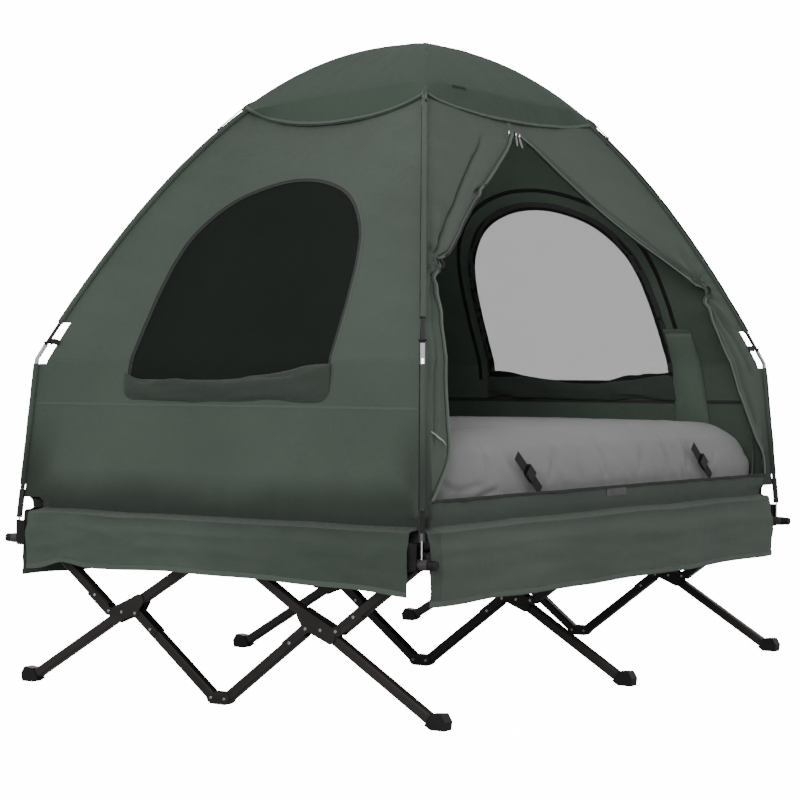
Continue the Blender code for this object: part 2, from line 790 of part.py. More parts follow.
# Bed sheet: over the rails, with a hem down the outside of each
sheet_low = rail_height + tube_width / 2 + sheet_gap
sheet_top = sheet_low + sheet_thickness
sheet_in = rail_distance + tube_width / 2 + sheet_gap
sheet_out = sheet_in + sheet_thickness
mattress_base = sheet_top + mattress_gap
hem_low = sheet_low - sheet_hem
outline = [(-sheet_out, hem_low), (-sheet_in, hem_low), (-sheet_in, sheet_low), (sheet_in, sheet_low)]
outline += [(sheet_in, hem_low), (sheet_out, hem_low), (sheet_out, sheet_top), (-sheet_out, sheet_top)]
sheet = prism("bed_sheet", outline, -sheet_half_length, sheet_half_length)
finished(sheet, "bed", (0, 0, sheet_low))


# Mattress: a soft-edged skin with a crown, drawn in at mid height, and an open valve
def mattress_point(a, b, c):
    """A point on the mattress skin: a, b and c each run from -1 to 1."""
    long_edge = max(0, 1 - (1 - abs(a)) * mattress_half_length / mattress_edge_x)
    wide_edge = max(0, 1 - (1 - abs(b)) * mattress_half_width / mattress_edge_y)
    middle = (mattress_base + mattress_top) / 2
    half = (mattress_top - mattress_base) / 2
    drop = long_edge**2 * mattress_end_share + wide_edge**2 * mattress_side_share
    crown = mattress_crown * (1 - a * a) * (1 - b * b)
    z = middle + c * half if c < 0 else middle + c * (half * (1 - drop) + crown - mattress_crown)
    pull = mattress_draw * (1 - abs(c)) * (1 - abs(a)) if c < 0 else 0
    edge = 1 - mattress_taper_share * c * c
    return (a * mattress_half_length * edge, b * (mattress_half_width * edge - pull), z)


def shell(name, grid, thickness, depth=0):
    """A closed solid between the grid's faces and the same faces moved inwards, starting at a depth."""
    surface = build(name, grid[0], grid[1])
    if depth:
        shape = bmesh.new()
        shape.from_mesh(surface.data)
        moves = [(vert, vert.co - vert.normal * depth * vert.calc_shell_factor()) for vert in shape.verts]
        for vert, spot in moves:
            vert.co = spot
        shape.to_mesh(surface.data)
        shape.free()
    step = surface.modifiers.new("skin", "SOLIDIFY")
    step.thickness = thickness
    step.offset = -1
    step.use_even_offset = True
    graph = bpy.context.evaluated_depsgraph_get()
    mesh = bpy.data.meshes.new_from_object(surface.evaluated_get(graph))
    surface.modifiers.clear()
    surface.data = mesh
    return surface


def mattress_grid():
    long_count, wide_count, tall_count = 12, 8, 4
    index, points, faces = {}, [], []

    def number(i, j, k):
        key = (i, j, k)
        if key not in index:
            index[key] = len(points)
            a = math.sin(math.pi / 2 * (2 * i / long_count - 1))
            b = math.sin(math.pi / 2 * (2 * j / wide_count - 1))
            points.append(mattress_point(a, b, 2 * k / tall_count - 1))
        return index[key]

    for k in (0, tall_count):
        for i in range(long_count):
            for j in range(wide_count):
                faces.append([number(i, j, k), number(i + 1, j, k), number(i + 1, j + 1, k), number(i, j + 1, k)])
    for k in range(tall_count):
        for i in range(long_count):
            for j in (0, wide_count):
                faces.append([number(i, j, k), number(i + 1, j, k), number(i + 1, j, k + 1), number(i, j, k + 1)])
        for j in range(wide_count):
            for i in (0, long_count):
                faces.append([number(i, j, k), number(i, j + 1, k), number(i, j + 1, k + 1), number(i, j, k + 1)])
    return points, faces


mattress = shell("mattress", mattress_grid(), mattress_skin)
valve = [(mattress_half_length - valve_reach, valve_radius), (mattress_half_length + valve_reach, valve_radius)]
cut(mattress, turned("valve", valve, (0, valve_height), round_sides))
finished(mattress, "mattress", (0, 0, mattress_base))


# Canopy: rings of wall under the poles. Below the slits it becomes the skirt.
def sag_share(z):
    return max(0, math.sin(math.pi * (z - wall_bottom) / (pole_crown - wall_bottom)))


def tuck_at(z):
    """How far the foot of the wall is drawn in over the skirt."""
    return wall_tuck * max(0, (tuck_top - z) / (tuck_top - slit_top))


def wall_size(share):
    """(height, half length, half width) of the canopy wall's ring under this share of the poles."""
    height = pole_height(share)
    if share >= pole_elbow_share:
        return height, pole_half_x * share - wall_inset, pole_half_y * share - wall_inset
    diagonal = math.hypot(pole_half_x, pole_half_y)
    steep = math.atan2(2 * arch_drop * share, diagonal)
    inset = wall_inset + (apex_inset - wall_inset) * max(0, 1 - share / crossing_share)
    out = share - inset * math.sin(steep) * math.sqrt(2) / diagonal
    return height - inset * math.cos(steep), pole_half_x * out, pole_half_y * out


def ring_points(height, half_x, half_y, sag):
    """A ring of points, anticlockwise from the front right corner: the near wall, the rear end and so on."""
    lean_x = end_sag * sag + tuck_at(height)
    lean_y = side_sag * sag + tuck_at(height)
    ring = []
    along = [-1, -side_edge] + side_column_shares + [side_edge]
    aside = [-1, -end_edge] + end_column_shares + [end_edge]
    ring += [(t * half_x, -half_y + lean_y * (1 - t * t), height) for t in along]
    ring += [(half_x - lean_x * (1 - t * t), t * half_y, height) for t in aside]
    ring += [(-t * half_x, half_y - lean_y * (1 - t * t), height) for t in along]
    ring += [(-half_x + lean_x * (1 - t * t), -t * half_y, height) for t in aside]
    return ring


def wall_shares():
    """The canopy's levels, from the top of the corner slits up, as shares of the way along the poles."""
    low = pole_share(slit_top)
    return [low + (pole_elbow_share - low) * share for share in wall_level_shares] + upper_level_shares


def canopy_grid():
    rings = []
    for share in wall_shares():
        height, half_x, half_y = wall_size(share)
        rings.append(ring_points(height, half_x, half_y, sag_share(height)))
    points = [point for ring in rings for point in ring]
    count = len(rings[0])
    faces = []
    for k in range(len(rings) - 1):
        for i in range(count):
            j = (i + 1) % count
            faces.append([k * count + i, k * count + j, (k + 1) * count + j, (k + 1) * count + i])
    points.append((0, 0, pole_crown - apex_inset))
    faces += [[(len(rings) - 1) * count + i, (len(rings) - 1) * count + (i + 1) % count, len(points) - 1]
              for i in range(count)]
    along = len(side_column_shares) + 3
    aside = len(end_column_shares) + 3
    start = 0
    for turn, (steps, flare) in enumerate(((along, (0, -1)), (aside, (1, 0)), (along, (0, 1)), (aside, (-1, 0)))):
        columns = [start + i for i in range(1, steps)]
        start += steps
        above = columns
        for level in ("bulge", "fall", "bottom"):
            row = []
            for column in columns:
                x, y, z = rings[0][column]
                if turn % 2:
                    x = flare[0] * skirt_x
                    low = end_skirt_bottom + end_skirt_lift * (1 - (y / skirt_end_half_width) ** 2)
                else:
                    y = flare[1] * skirt_y
                    low = side_skirt_bottom
                z = {"bulge": bulge_top, "fall": (2 * bulge_top + low) / 3, "bottom": low}[level]
                points.append((x, y, z))
                row.append(len(points) - 1)
            faces += [[above[i], above[i + 1], row[i + 1], row[i]] for i in range(len(row) - 1)]
            above = row
    return points, faces


slit_height, slit_x, slit_y = wall_size(pole_share(slit_top))
side_edge = skirt_side_half_length / slit_x
end_edge = skirt_end_half_width / slit_y
canopy = shell("canopy", canopy_grid(), cloth)
window_height = window_top - window_bottom
window_outline = [(window_half_width * a, window_bottom + window_height * b) for a, b in window_shares]
door_outline = [(door_half_width * a, door_bottom + (door_top - door_bottom) * b) for a, b in door_shares]
cutters = [prism("door", door_outline, -cutter_far, -cutter_near, "Y")]
for end in (-1, 1):
    low, high = sorted((end * window_cutter_near, end * window_cutter_far))
    cutters.append(prism("window", window_outline, low, high))
gap_height, gap_x, gap_y = wall_size(pole_share(pole_gap_top))
for end in (-1, 1):
    for side in (-1, 1):
        near = (end * (gap_x - pole_gap_width), side * (gap_y - pole_gap_width))
        far = (end * (pole_half_x + pole_gap_overrun), side * (pole_half_y + pole_gap_overrun))
        cutters.append(prism("pole_gap", rectangle(near[0], far[0], near[1], far[1]), pole_gap_low, pole_gap_top, "Z"))
cut(canopy, *cutters)


def door_wall(x, z):
    """The point on the door side's wall at this place along the bed and height."""
    height, half_x, half_y = wall_size(pole_share(z))
    across = x / half_x
    lean = side_sag * sag_share(z) + tuck_at(z)
    return Vector((x, -half_y + lean * (1 - across * across), z))


def curtain(outline, roll, shares):
    """A curtain's rolled edge beside the door's outline, tied in where its shares are small."""
    rings = []
    for i, (x, z) in enumerate(outline):
        before, after = outline[max(0, i - 1)], outline[min(len(outline) - 1, i + 1)]
        along = Vector((after[0] - before[0], 0, after[1] - before[1])).normalized()
        away = Vector((-along.z, 0, along.x))
        if away.dot(Vector((x, 0, z - (door_top + door_bottom) / 2))) < 0:
            away.negate()
        radius = roll * shares[i]
        seat = away * radius * curtain_seat_share
        centre = door_wall(x + seat.x, z + seat.z)
        out = along.cross(away)
        turns = [2 * math.pi * (k + 0.5) / curtain_sides for k in range(curtain_sides)]
        rings.append([
            centre + radius * (math.cos(turn) * away + curtain_depth_share * math.sin(turn) * out) for turn in turns
        ])
    points = [point for ring in rings for point in ring]
    faces = [list(range(curtain_sides)), list(range(len(points) - curtain_sides, len(points)))]
    for i in range(len(rings) - 1):
        for k in range(curtain_sides):
            j = (k + 1) % curtain_sides
            here, there = i * curtain_sides, (i + 1) * curtain_sides
            faces.append([here + k, here + j, there + j, there + k])
    return build("curtain", points, faces)


apex = max(range(len(door_shares)), key=lambda i: door_shares[i][1])
left_side = door_outline[apex:apex - len(left_curtain_shares):-1]
right_side = door_outline[apex + 1:apex + 1 + len(right_curtain_shares)]
joined(canopy, curtain(left_side, curtain_roll, left_curtain_shares))
joined(canopy, curtain(right_side, hem_roll, right_curtain_shares))
finished(canopy, "canopy", (0, 0, pole_foot))


# Window nets: the canopy's own surface moved inwards, cut to the window with a lap all round
def window_net(name, end):
    net = shell(name, canopy_grid(), window_cloth, cloth + window_gap)
    grown = 1 + window_lap / window_half_width
    centre = (window_top + window_bottom) / 2
    outline = [(y * grown, centre + (z - centre) * grown) for y, z in window_outline]
    low, high = sorted((end * window_cutter_near, end * window_cutter_far))
    combined(net, [prism("trim", outline, low, high)], "INTERSECT")
    return finished(net, "mesh", (end * pole_half_x, 0, window_bottom))


window_net("window_front", -1)
window_net("window_rear", 1)


# Roof fly over the poles, its lower edge hanging lowest midway between two corners
def fly_grid():
    rings = []
    steps = 6
    for share in fly_ring_shares:
        ring = []
        for turn in range(4):
            for i in range(steps):
                t = 2 * i / steps - 1
                edge = fly_side_share if turn % 2 == 0 else fly_end_share
                level = share * (fly_corner_share + (edge - fly_corner_share) * (1 - t * t))
                height = pole_height(level) + fly_rise
                out_x = pole_half_x * level + fly_rise * level
                out_y = pole_half_y * level + fly_rise * level
                sag = sag_share(height) * (1 - t * t) * share / 2
                spot = [(t * out_x, -out_y + side_sag * sag), (out_x - end_sag * sag, t * out_y)][turn % 2]
                if turn > 1:
                    spot = (-spot[0], -spot[1])
                ring.append((*spot, height))
        rings.append(ring)
    points = [point for ring in rings for point in ring]
    count = len(rings[0])
    faces = []
    for k in range(len(rings) - 1):
        for i in range(count):
            j = (i + 1) % count
            faces.append([k * count + i, k * count + j, (k + 1) * count + j, (k + 1) * count + i])
    points.append((0, 0, hub_cap_top + fly_drop + cloth))
    faces += [[i, (i + 1) % count, len(points) - 1] for i in range(count)]
    return points, faces


finished(shell("roof_fly", fly_grid(), cloth), "canopy", (0, 0, hub_cap_top))


# Straps and buckles on the mattress front
def flat_box(name, along, across, depth):
    points = [(a, d, b) for a in along for b in across for d in depth]
    faces = [[0, 1, 3, 2], [4, 5, 7, 6], [0, 1, 5, 4], [2, 3, 7, 6], [0, 2, 6, 4], [1, 3, 7, 5]]
    return build(name, points, faces)


def strap_piece(pieces, name, x, slope):
    made = joined(pieces[0], *pieces[1:]) if len(pieces) > 1 else pieces[0]
    made.name = name
    made.data.transform(Matrix.Rotation(slope, 4, "Y"))
    y = -mattress_half_width - strap_standoff - buckle_half_depth
    made.data.transform(Matrix.Translation((x, y, buckle_height)))
    return finished(made, "black_plastic", (x, y, buckle_height))


for side_name, x in (("left", left_buckle_x), ("right", right_buckle_x)):
    slope = math.radians(strap_slope)
    half = strap_width / 2
    web_depth = (buckle_half_depth - strap_thickness, buckle_half_depth)
    housing = flat_box(
        "housing",
        (-buckle_half_length, buckle_half_length),
        (-buckle_half_width, buckle_half_width),
        (-buckle_half_depth, buckle_half_depth),
    )
    hole = flat_box(
        "cavity",
        (buckle_wall, 2 * buckle_half_length),
        (-buckle_half_width + buckle_wall, buckle_half_width - buckle_wall),
        (-buckle_half_depth + buckle_wall, buckle_half_depth - buckle_wall),
    )
    cut(housing, hole)
    web = flat_box("web", (-strap_upper_length, -buckle_half_length + buckle_wall), (-half, half), web_depth)
    strap_piece([housing, web], f"buckle_housing_{side_name}", x, slope)
    inside = buckle_half_width - buckle_wall - plug_clearance
    deep = buckle_half_depth - buckle_wall - plug_clearance
    end = buckle_half_length - plug_depth
    plug = flat_box("plug", (end, buckle_half_length + buckle_wall), (-inside, inside), (-deep, deep))
    flange = flat_box(
        "flange",
        (buckle_half_length + plug_clearance, buckle_half_length + 2 * buckle_wall),
        (-buckle_half_width, buckle_half_width),
        (-buckle_half_depth, buckle_half_depth),
    )
    tail_end = buckle_half_length + strap_lower_length
    tail = flat_box("tail", (buckle_half_length + buckle_wall, tail_end), (-half, half), web_depth)
    strap_piece([plug, flange, tail], f"buckle_plug_{side_name}", x, slope)
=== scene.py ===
# The looks of the tent cot: camera, light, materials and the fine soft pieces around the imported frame.
# Metres, +Z up. X runs along the bed, the door side faces -Y, and the front end faces -X.
import math

import bmesh
import bpy
from mathutils import Matrix, Vector, noise


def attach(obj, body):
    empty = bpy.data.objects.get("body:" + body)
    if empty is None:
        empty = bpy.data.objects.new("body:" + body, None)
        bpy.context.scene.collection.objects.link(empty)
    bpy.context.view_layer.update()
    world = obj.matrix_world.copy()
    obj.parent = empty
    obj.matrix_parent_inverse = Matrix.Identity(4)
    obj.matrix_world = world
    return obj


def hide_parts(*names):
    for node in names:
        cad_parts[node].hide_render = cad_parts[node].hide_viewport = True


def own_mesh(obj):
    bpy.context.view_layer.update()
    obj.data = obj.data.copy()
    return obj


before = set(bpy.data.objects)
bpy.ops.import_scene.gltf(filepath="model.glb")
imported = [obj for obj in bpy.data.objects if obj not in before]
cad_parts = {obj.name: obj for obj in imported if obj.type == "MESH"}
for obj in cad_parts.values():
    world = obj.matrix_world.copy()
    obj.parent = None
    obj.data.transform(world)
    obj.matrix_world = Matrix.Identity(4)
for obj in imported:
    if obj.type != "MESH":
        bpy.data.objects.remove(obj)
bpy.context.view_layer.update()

# ---------------------------------------------------------------- sizes, as the model has them
POLE_X, POLE_Y = 0.954, 0.651
CROWN, ELBOW, PIN_TOP = 1.760, 0.868, 0.4455
ELBOW_SHARE, CROSSING_SHARE, CROSSING_DROP = 0.96, 0.30, 0.0106
STEEL_TOP, STEEL_LOW = 0.905, 0.585
WALL_INSET, APEX_INSET, WALL_BOTTOM = 0.0054, 0.0172, 0.450
SIDE_SAG, END_SAG = 0.048, 0.055
SLIT_TOP, TUCK_TOP, WALL_TUCK = 0.500, 0.575, 0.012
SKIRT_X, SKIRT_Y, CREASE = 0.978, 0.668, 0.470
END_SKIRT_LOW, SIDE_SKIRT_LOW, END_SKIRT_LIFT = 0.314, 0.288, 0.018
GAP_LOW, GAP_TOP = 0.855, 0.965
DOOR_TOP, DOOR_BOTTOM = 1.500, 0.535
WINDOW_HALF, WINDOW_LOW, WINDOW_TOP = 0.330, 0.815, 1.345
FLY_CORNER, FLY_END, FLY_SIDE, FLY_RISE = 0.460, 0.524, 0.492, 0.0084
MATTRESS_X, MATTRESS_Y, MATTRESS_LOW, MATTRESS_TOP = 0.912, 0.600, 0.4048, 0.706
SHEET_X, SHEET_Y, SHEET_LOW, SHEET_TOP = 0.925, 0.6419, 0.4029, 0.4044
CLOTH, TAPE, INNER = 0.0012, 0.0014, -0.0014  # the thickness of the tent's cloth and of its tapes, and its inner face
LEG_X = 0.893  # the planes of the front and the rear leg frames
BUCKLES = (-0.403, 0.555)
BUCKLE_HEIGHT, STRAP_SLOPE = 0.582, math.radians(38.5)

ARCH_DROP = (CROWN - ELBOW) / ELBOW_SHARE**2
DIAGONAL = math.hypot(POLE_X, POLE_Y)

# ---------------------------------------------------------------- camera, stage and light
BACKDROP = 15.5  # the strength at which all that the camera sees behind the part is white
YAW, PITCH, ROLL = math.radians(35.1092), math.radians(-0.7032), math.radians(0.2767)
ahead = Vector((math.cos(PITCH) * math.cos(YAW), math.cos(PITCH) * math.sin(YAW), math.sin(PITCH)))
level_right = Vector((math.sin(YAW), -math.cos(YAW), 0))
level_up = level_right.cross(ahead)
right = math.cos(ROLL) * level_right + math.sin(ROLL) * level_up
up = right.cross(ahead)
camera = bpy.data.objects.new("camera", bpy.data.cameras.new("camera"))
camera.data.lens = 95.464
camera.data.sensor_width = 36
camera.data.clip_end = 60
camera.matrix_world = Matrix((
    (right.x, up.x, -ahead.x, -4.9958),
    (right.y, up.y, -ahead.y, -3.4297),
    (right.z, up.z, -ahead.z, 0.832),
    (0, 0, 0, 1),
))
bpy.context.scene.collection.objects.link(camera)
bpy.context.scene.camera = camera


def area_light(name, place, target, size, power):
    data = bpy.data.lights.new(name, "AREA")
    data.shape = "DISK"
    data.size = size
    data.energy = power
    made = bpy.data.objects.new(name, data)
    made.location = place
    made.rotation_euler = (Vector(target) - Vector(place)).to_track_quat("-Z", "Y").to_euler()
    bpy.context.scene.collection.objects.link(made)


area_light("key", (-6.9, -3.2, 2.6), (0, 0, 0.9), 3.0, 318)
area_light("fill", (2.5, -6.5, 2.4), (0, 0, 0.8), 4.0, 31)
area_light("top", (0, 0, 6.5), (0, 0, 0), 4.0, 3)
area_light("back", (4.5, 4.5, 3.2), (0, 0, 0.9), 3.0, 40)


def new_node(tree, kind, inputs=(), **settings):
    """A shader node, with its settings, and its inputs joined to sockets or set to values."""
    node = tree.nodes.new(kind)
    for key, value in settings.items():
        setattr(node, key, value)
    for key, value in dict(inputs).items():
        if isinstance(value, bpy.types.NodeSocket):
            tree.links.new(value, node.inputs[key])
        else:
            node.inputs[key].default_value = value
    return node


def studio_world():
    """Soft light that is stronger from above, and a white backdrop."""
    world = bpy.data.worlds.new("studio")
    world.use_nodes = True
    tree = world.node_tree
    light = tree.nodes["Background"]
    place = new_node(tree, "ShaderNodeTexCoord").outputs["Generated"]
    height = new_node(tree, "ShaderNodeSeparateXYZ", {0: place}).outputs[2]
    rise = new_node(tree, "ShaderNodeMapRange", {0: height, 1: -0.6, 2: 1.0, 3: 0.55, 4: 0.85})
    tree.links.new(rise.outputs[0], light.inputs["Strength"])
    light.inputs["Color"].default_value = (1, 1, 1, 1)
    backdrop = new_node(tree, "ShaderNodeBackground", {"Color": (1, 1, 1, 1), "Strength": BACKDROP})
    seen = new_node(tree, "ShaderNodeLightPath").outputs["Is Camera Ray"]
    both = new_node(tree, "ShaderNodeMixShader", {0: seen, 1: light.outputs[0], 2: backdrop.outputs[0]})
    tree.links.new(both.outputs[0], tree.nodes["World Output"].inputs["Surface"])
    bpy.context.scene.world = world


studio_world()
area_light("cabin", (0.0, -0.05, 1.42), (0.35, 0.05, 0.9), 0.5, 1.8)


# ---------------------------------------------------------------- materials
class Look:
    """One node material, with short ways to add and join its nodes."""

    def __init__(self, name, colour, roughness, metallic=0.0):
        self.material = bpy.data.materials.new(name)
        self.material.use_nodes = True
        self.tree = self.material.node_tree
        self.shader = self.tree.nodes["Principled BSDF"]
        self.place = self.add("ShaderNodeTexCoord").outputs["Object"]
        self.set({"Base Color": (*colour, 1), "Roughness": roughness, "Metallic": metallic})

    def set(self, values):
        """Sets inputs of the main shader by their names."""
        for name, value in values.items():
            self.shader.inputs[name].default_value = value

    def add(self, kind, inputs=(), **settings):
        return new_node(self.tree, kind, inputs, **settings)

    def noise(self, scale, detail=3.0, stretch=None):
        place = self.place
        if stretch:
            place = self.add("ShaderNodeMapping", {"Vector": place, "Scale": stretch}).outputs["Vector"]
        return self.add("ShaderNodeTexNoise", {"Vector": place, "Scale": scale, "Detail": detail}).outputs["Fac"]

    def math(self, operation, first, second=0.0):
        return self.add("ShaderNodeMath", {0: first, 1: second}, operation=operation).outputs[0]

    def times(self, first, second):
        return self.math("MULTIPLY", first, second)

    def plus(self, first, second):
        return self.math("ADD", first, second)

    def minus(self, first, second):
        return self.math("SUBTRACT", first, second)

    def above(self, first, second):
        return self.math("GREATER_THAN", first, second)

    def ramp(self, value, low, high, to_low=0.0, to_high=1.0, kind="LINEAR"):
        inputs = {0: value, 1: low, 2: high, 3: to_low, 4: to_high}
        return self.add("ShaderNodeMapRange", inputs, interpolation_type=kind).outputs[0]

    def ease(self, *numbers):
        return self.ramp(*numbers, kind="SMOOTHSTEP")

    def mix(self, factor, first, second):
        colours = [value if isinstance(value, bpy.types.NodeSocket) else (*value, 1) for value in (first, second)]
        return self.add("ShaderNodeMix", {0: factor, 6: colours[0], 7: colours[1]}, data_type="RGBA").outputs[2]

    def split(self, vector=None):
        return self.add("ShaderNodeSeparateXYZ", {0: vector or self.place}).outputs

    def weave(self, pitch):
        """A plain weave's height, from -1 to 1, on a surface that faces any way."""
        x, y, z = self.split()
        turn = 2 * math.pi / pitch
        warp = self.math("SINE", self.times(self.minus(x, y), turn))
        weft_place = self.plus(self.plus(x, y), z)
        weft = self.math("SINE", self.times(weft_place, turn))
        return self.times(warp, weft)

    def bump(self, *heights):
        """Each height is (socket, metres)."""
        normal = None
        for height, distance in heights:
            inputs = {"Height": height, "Distance": distance, "Strength": 1.0}
            if normal:
                inputs["Normal"] = normal
            normal = self.add("ShaderNodeBump", inputs).outputs["Normal"]
        self.link(normal, "Normal")

    def link(self, socket, name):
        self.tree.links.new(socket, self.shader.inputs[name])

    def paint(self, socket):
        self.link(socket, "Base Color")

    def rough(self, socket):
        self.link(socket, "Roughness")

    def linked(self, name):
        """The socket that feeds the shader's input."""
        return self.shader.inputs[name].links[0].from_socket

    def show(self, shader, factor):
        """Mixes another shader in, by a number or a socket."""
        both = self.add("ShaderNodeMixShader", {0: factor, 1: self.shader.outputs[0], 2: shader.outputs[0]})
        self.tree.links.new(both.outputs[0], self.tree.nodes["Material Output"].inputs["Surface"])


def scaled(colour, factor):
    return tuple(part * factor for part in colour)


def fabric(name, colour, pitch=0.0011, sheen=0.2, crease=0.0012, spread=0.10, thin=0.0, shade=False):
    """Woven cloth: thin is the share of light that it lets through, and shade darkens the tent's foot."""
    look = Look(name, colour, 0.78)
    look.set({"Sheen Weight": sheen, "Sheen Roughness": 0.45, "Specular IOR Level": 0.28})
    broad = look.noise(2.6, 2.0)
    fine = look.noise(160, 2.0)
    weave = look.weave(pitch)
    tone = look.ramp(broad, 0.3, 0.7)
    base = look.mix(tone, scaled(colour, 1 - spread), scaled(colour, 1 + spread))
    thread = look.ramp(weave, -1.0, 1.0, 0.0, 0.16)
    base = look.mix(thread, base, scaled(colour, 0.45))
    speck = look.ramp(fine, 0.35, 0.75, 0.0, 0.14)
    base = look.mix(speck, base, scaled(colour, 1.6))
    if shade:
        # painted shade on the tent's foot
        base = look.mix(foot_shade(look), base, scaled(colour, 0.30))
    look.paint(base)
    look.rough(look.ramp(fine, 0.3, 0.7, 0.70, 0.88))
    look.bump((look.noise(9.0, 4.0), crease * 4), (look.noise(38.0, 3.0), crease), (weave, 0.00012))
    if thin:
        look.show(look.add("ShaderNodeBsdfTranslucent", {"Color": base}), thin)
    return look


def foot_shade(look):
    """Painted shade: the walls are darker at their foot above the skirt, most at the end walls' corners, and the end
    skirts are darker in the half towards the door side.
    """
    x, y, z = look.split()
    ragged = look.times(look.minus(look.noise(3.0, 3.0, (1.0, 1.0, 0.4)), 0.5), 0.08)
    height = look.plus(z, ragged)
    low = look.ease(height, 0.500, 0.600, 0.75, 0.0)
    wall = look.ease(z, 0.4625, 0.4745)
    aside = look.ease(look.math("ABSOLUTE", y), 0.52, 0.64, 0.0, 0.75)
    tall = look.ease(height, 0.56, 0.76, 1.0, 0.0)
    end = look.above(look.math("ABSOLUTE", x), 0.89)
    corner = look.times(look.times(aside, tall), end)
    low = look.times(low, look.ramp(end, 0.0, 1.0, 0.55, 1.0))
    above = look.times(look.math("MAXIMUM", low, corner), wall)
    hanging = look.ease(y, 0.10, -0.34, 0.0, 0.34)
    hanging = look.times(look.times(hanging, end), look.minus(1.0, wall))
    return look.plus(above, hanging)


def rounded_grain(look, grain, depth):
    rounded = look.add("ShaderNodeBevel", {"Radius": 0.0008}, samples=4).outputs["Normal"]
    bump = look.add("ShaderNodeBump", {"Height": grain, "Distance": depth, "Normal": rounded})
    look.link(bump.outputs["Normal"], "Normal")


def painted_metal(name, colour, roughness, head=None):
    """Powder coat, worn at edges. Beyond the distance head from a leg frame's plane it is a bright rivet head."""
    look = Look(name, colour, roughness, 0.35)
    look.set({"Coat Weight": 0.2, "Coat Roughness": 0.3})
    broad = look.noise(11, 4.0)
    scuff = look.noise(60, 5.0, (1.0, 1.0, 0.25))
    edge = look.add("ShaderNodeNewGeometry").outputs["Pointiness"]
    base = look.mix(look.ramp(broad, 0.3, 0.7), scaled(colour, 0.82), scaled(colour, 1.2))
    base = look.mix(look.ramp(scuff, 0.66, 0.74, 0.0, 0.4), base, scaled(colour, 1.6))
    base = look.mix(look.ramp(edge, 0.53, 0.60, 0.0, 0.6), base, scaled(colour, 2.6))
    rough = look.ramp(broad, 0.3, 0.7, roughness - 0.08, roughness + 0.1)
    if head:
        off = look.math("ABSOLUTE", look.split()[0])
        off = look.math("MINIMUM", off, look.math("ABSOLUTE", look.minus(off, LEG_X)))
        bright = look.above(off, head)
        base = look.mix(bright, base, (0.50, 0.50, 0.50))
        rough = look.minus(rough, look.times(bright, 0.12))
        look.link(look.ramp(bright, 0.0, 1.0, 0.35, 1.0), "Metallic")
    look.paint(base)
    look.rough(rough)
    rounded_grain(look, look.noise(420, 2.0), 0.00008)
    return look


def moulded_plastic(name, colour, roughness=0.5):
    look = Look(name, colour, roughness)
    look.set({"Specular IOR Level": 0.32})
    broad = look.noise(25, 3.0)
    look.paint(look.mix(look.ramp(broad, 0.35, 0.7), scaled(colour, 0.85), scaled(colour, 1.5)))
    look.rough(look.ramp(broad, 0.3, 0.7, roughness - 0.07, roughness + 0.1))
    rounded_grain(look, look.noise(900, 2.0), 0.00006)
    return look


def buckle_material(name, place):
    """Black moulded plastic at the buckle, and brown-grey webbing beyond it on both sides."""
    look = moulded_plastic(name, (0.0042, 0.0042, 0.0045), 0.32)
    x, _, z = look.split()
    along = look.minus(look.times(look.minus(x, place), math.cos(STRAP_SLOPE)),
                      look.times(look.minus(z, BUCKLE_HEIGHT), math.sin(STRAP_SLOPE)))
    web = look.above(look.math("ABSOLUTE", along), 0.0215)
    ribs = look.ramp(look.math("SINE", look.times(along, 2 * math.pi / 0.0022)), -1.0, 1.0)
    strap = look.mix(ribs, (0.010, 0.0090, 0.0090), (0.034, 0.030, 0.030))
    look.paint(look.mix(web, look.linked("Base Color"), strap))
    look.rough(look.ramp(web, 0.0, 1.0, 0.34, 0.85))
    return look


def stitched(name, colour, rows=(0.16, 0.84), stitch=0.005, contrast=1.5):
    """Tape or a hem: its UV runs in metres along it, and from 0 to 1 across it."""
    look = fabric(name, colour, pitch=0.0014, sheen=0.12, crease=0.0003, spread=0.06)
    along, across, _ = look.split(look.add("ShaderNodeTexCoord").outputs["UV"])
    dash = look.above(look.math("SINE", look.times(along, 2 * math.pi / stitch)), -0.3)
    line = None
    for row in rows:
        near = look.math("LESS_THAN", look.math("ABSOLUTE", look.minus(across, row)), 0.045)
        line = near if line is None else look.plus(line, near)
    base = look.linked("Base Color")
    look.paint(look.mix(look.times(dash, line), base, scaled(colour, contrast)))
    normal = look.linked("Normal")
    groove = look.add("ShaderNodeBump", {"Height": line, "Distance": -0.0004, "Normal": normal})
    look.link(groove.outputs["Normal"], "Normal")
    return look


def netting(name, colour, cell=0.0020, clear=0.060):
    """Insect net on an upright end wall: square holes between the threads."""
    look = Look(name, colour, 0.85)
    _, y, z = look.split()
    hole = None
    for place in (y, z):
        wave = look.math("ABSOLUTE", look.math("SINE", look.times(place, math.pi / cell)))
        part = look.ramp(wave, 0.30, 0.60)
        hole = part if hole is None else look.times(hole, part)
    look.set({"Specular IOR Level": 0.1})
    look.paint(look.mix(look.noise(4.0, 2.0), scaled(colour, 0.8), scaled(colour, 1.2)))
    look.bump((look.noise(7.0, 3.0), 0.004))
    look.show(look.add("ShaderNodeBsdfTransparent"), look.times(hole, clear))
    return look


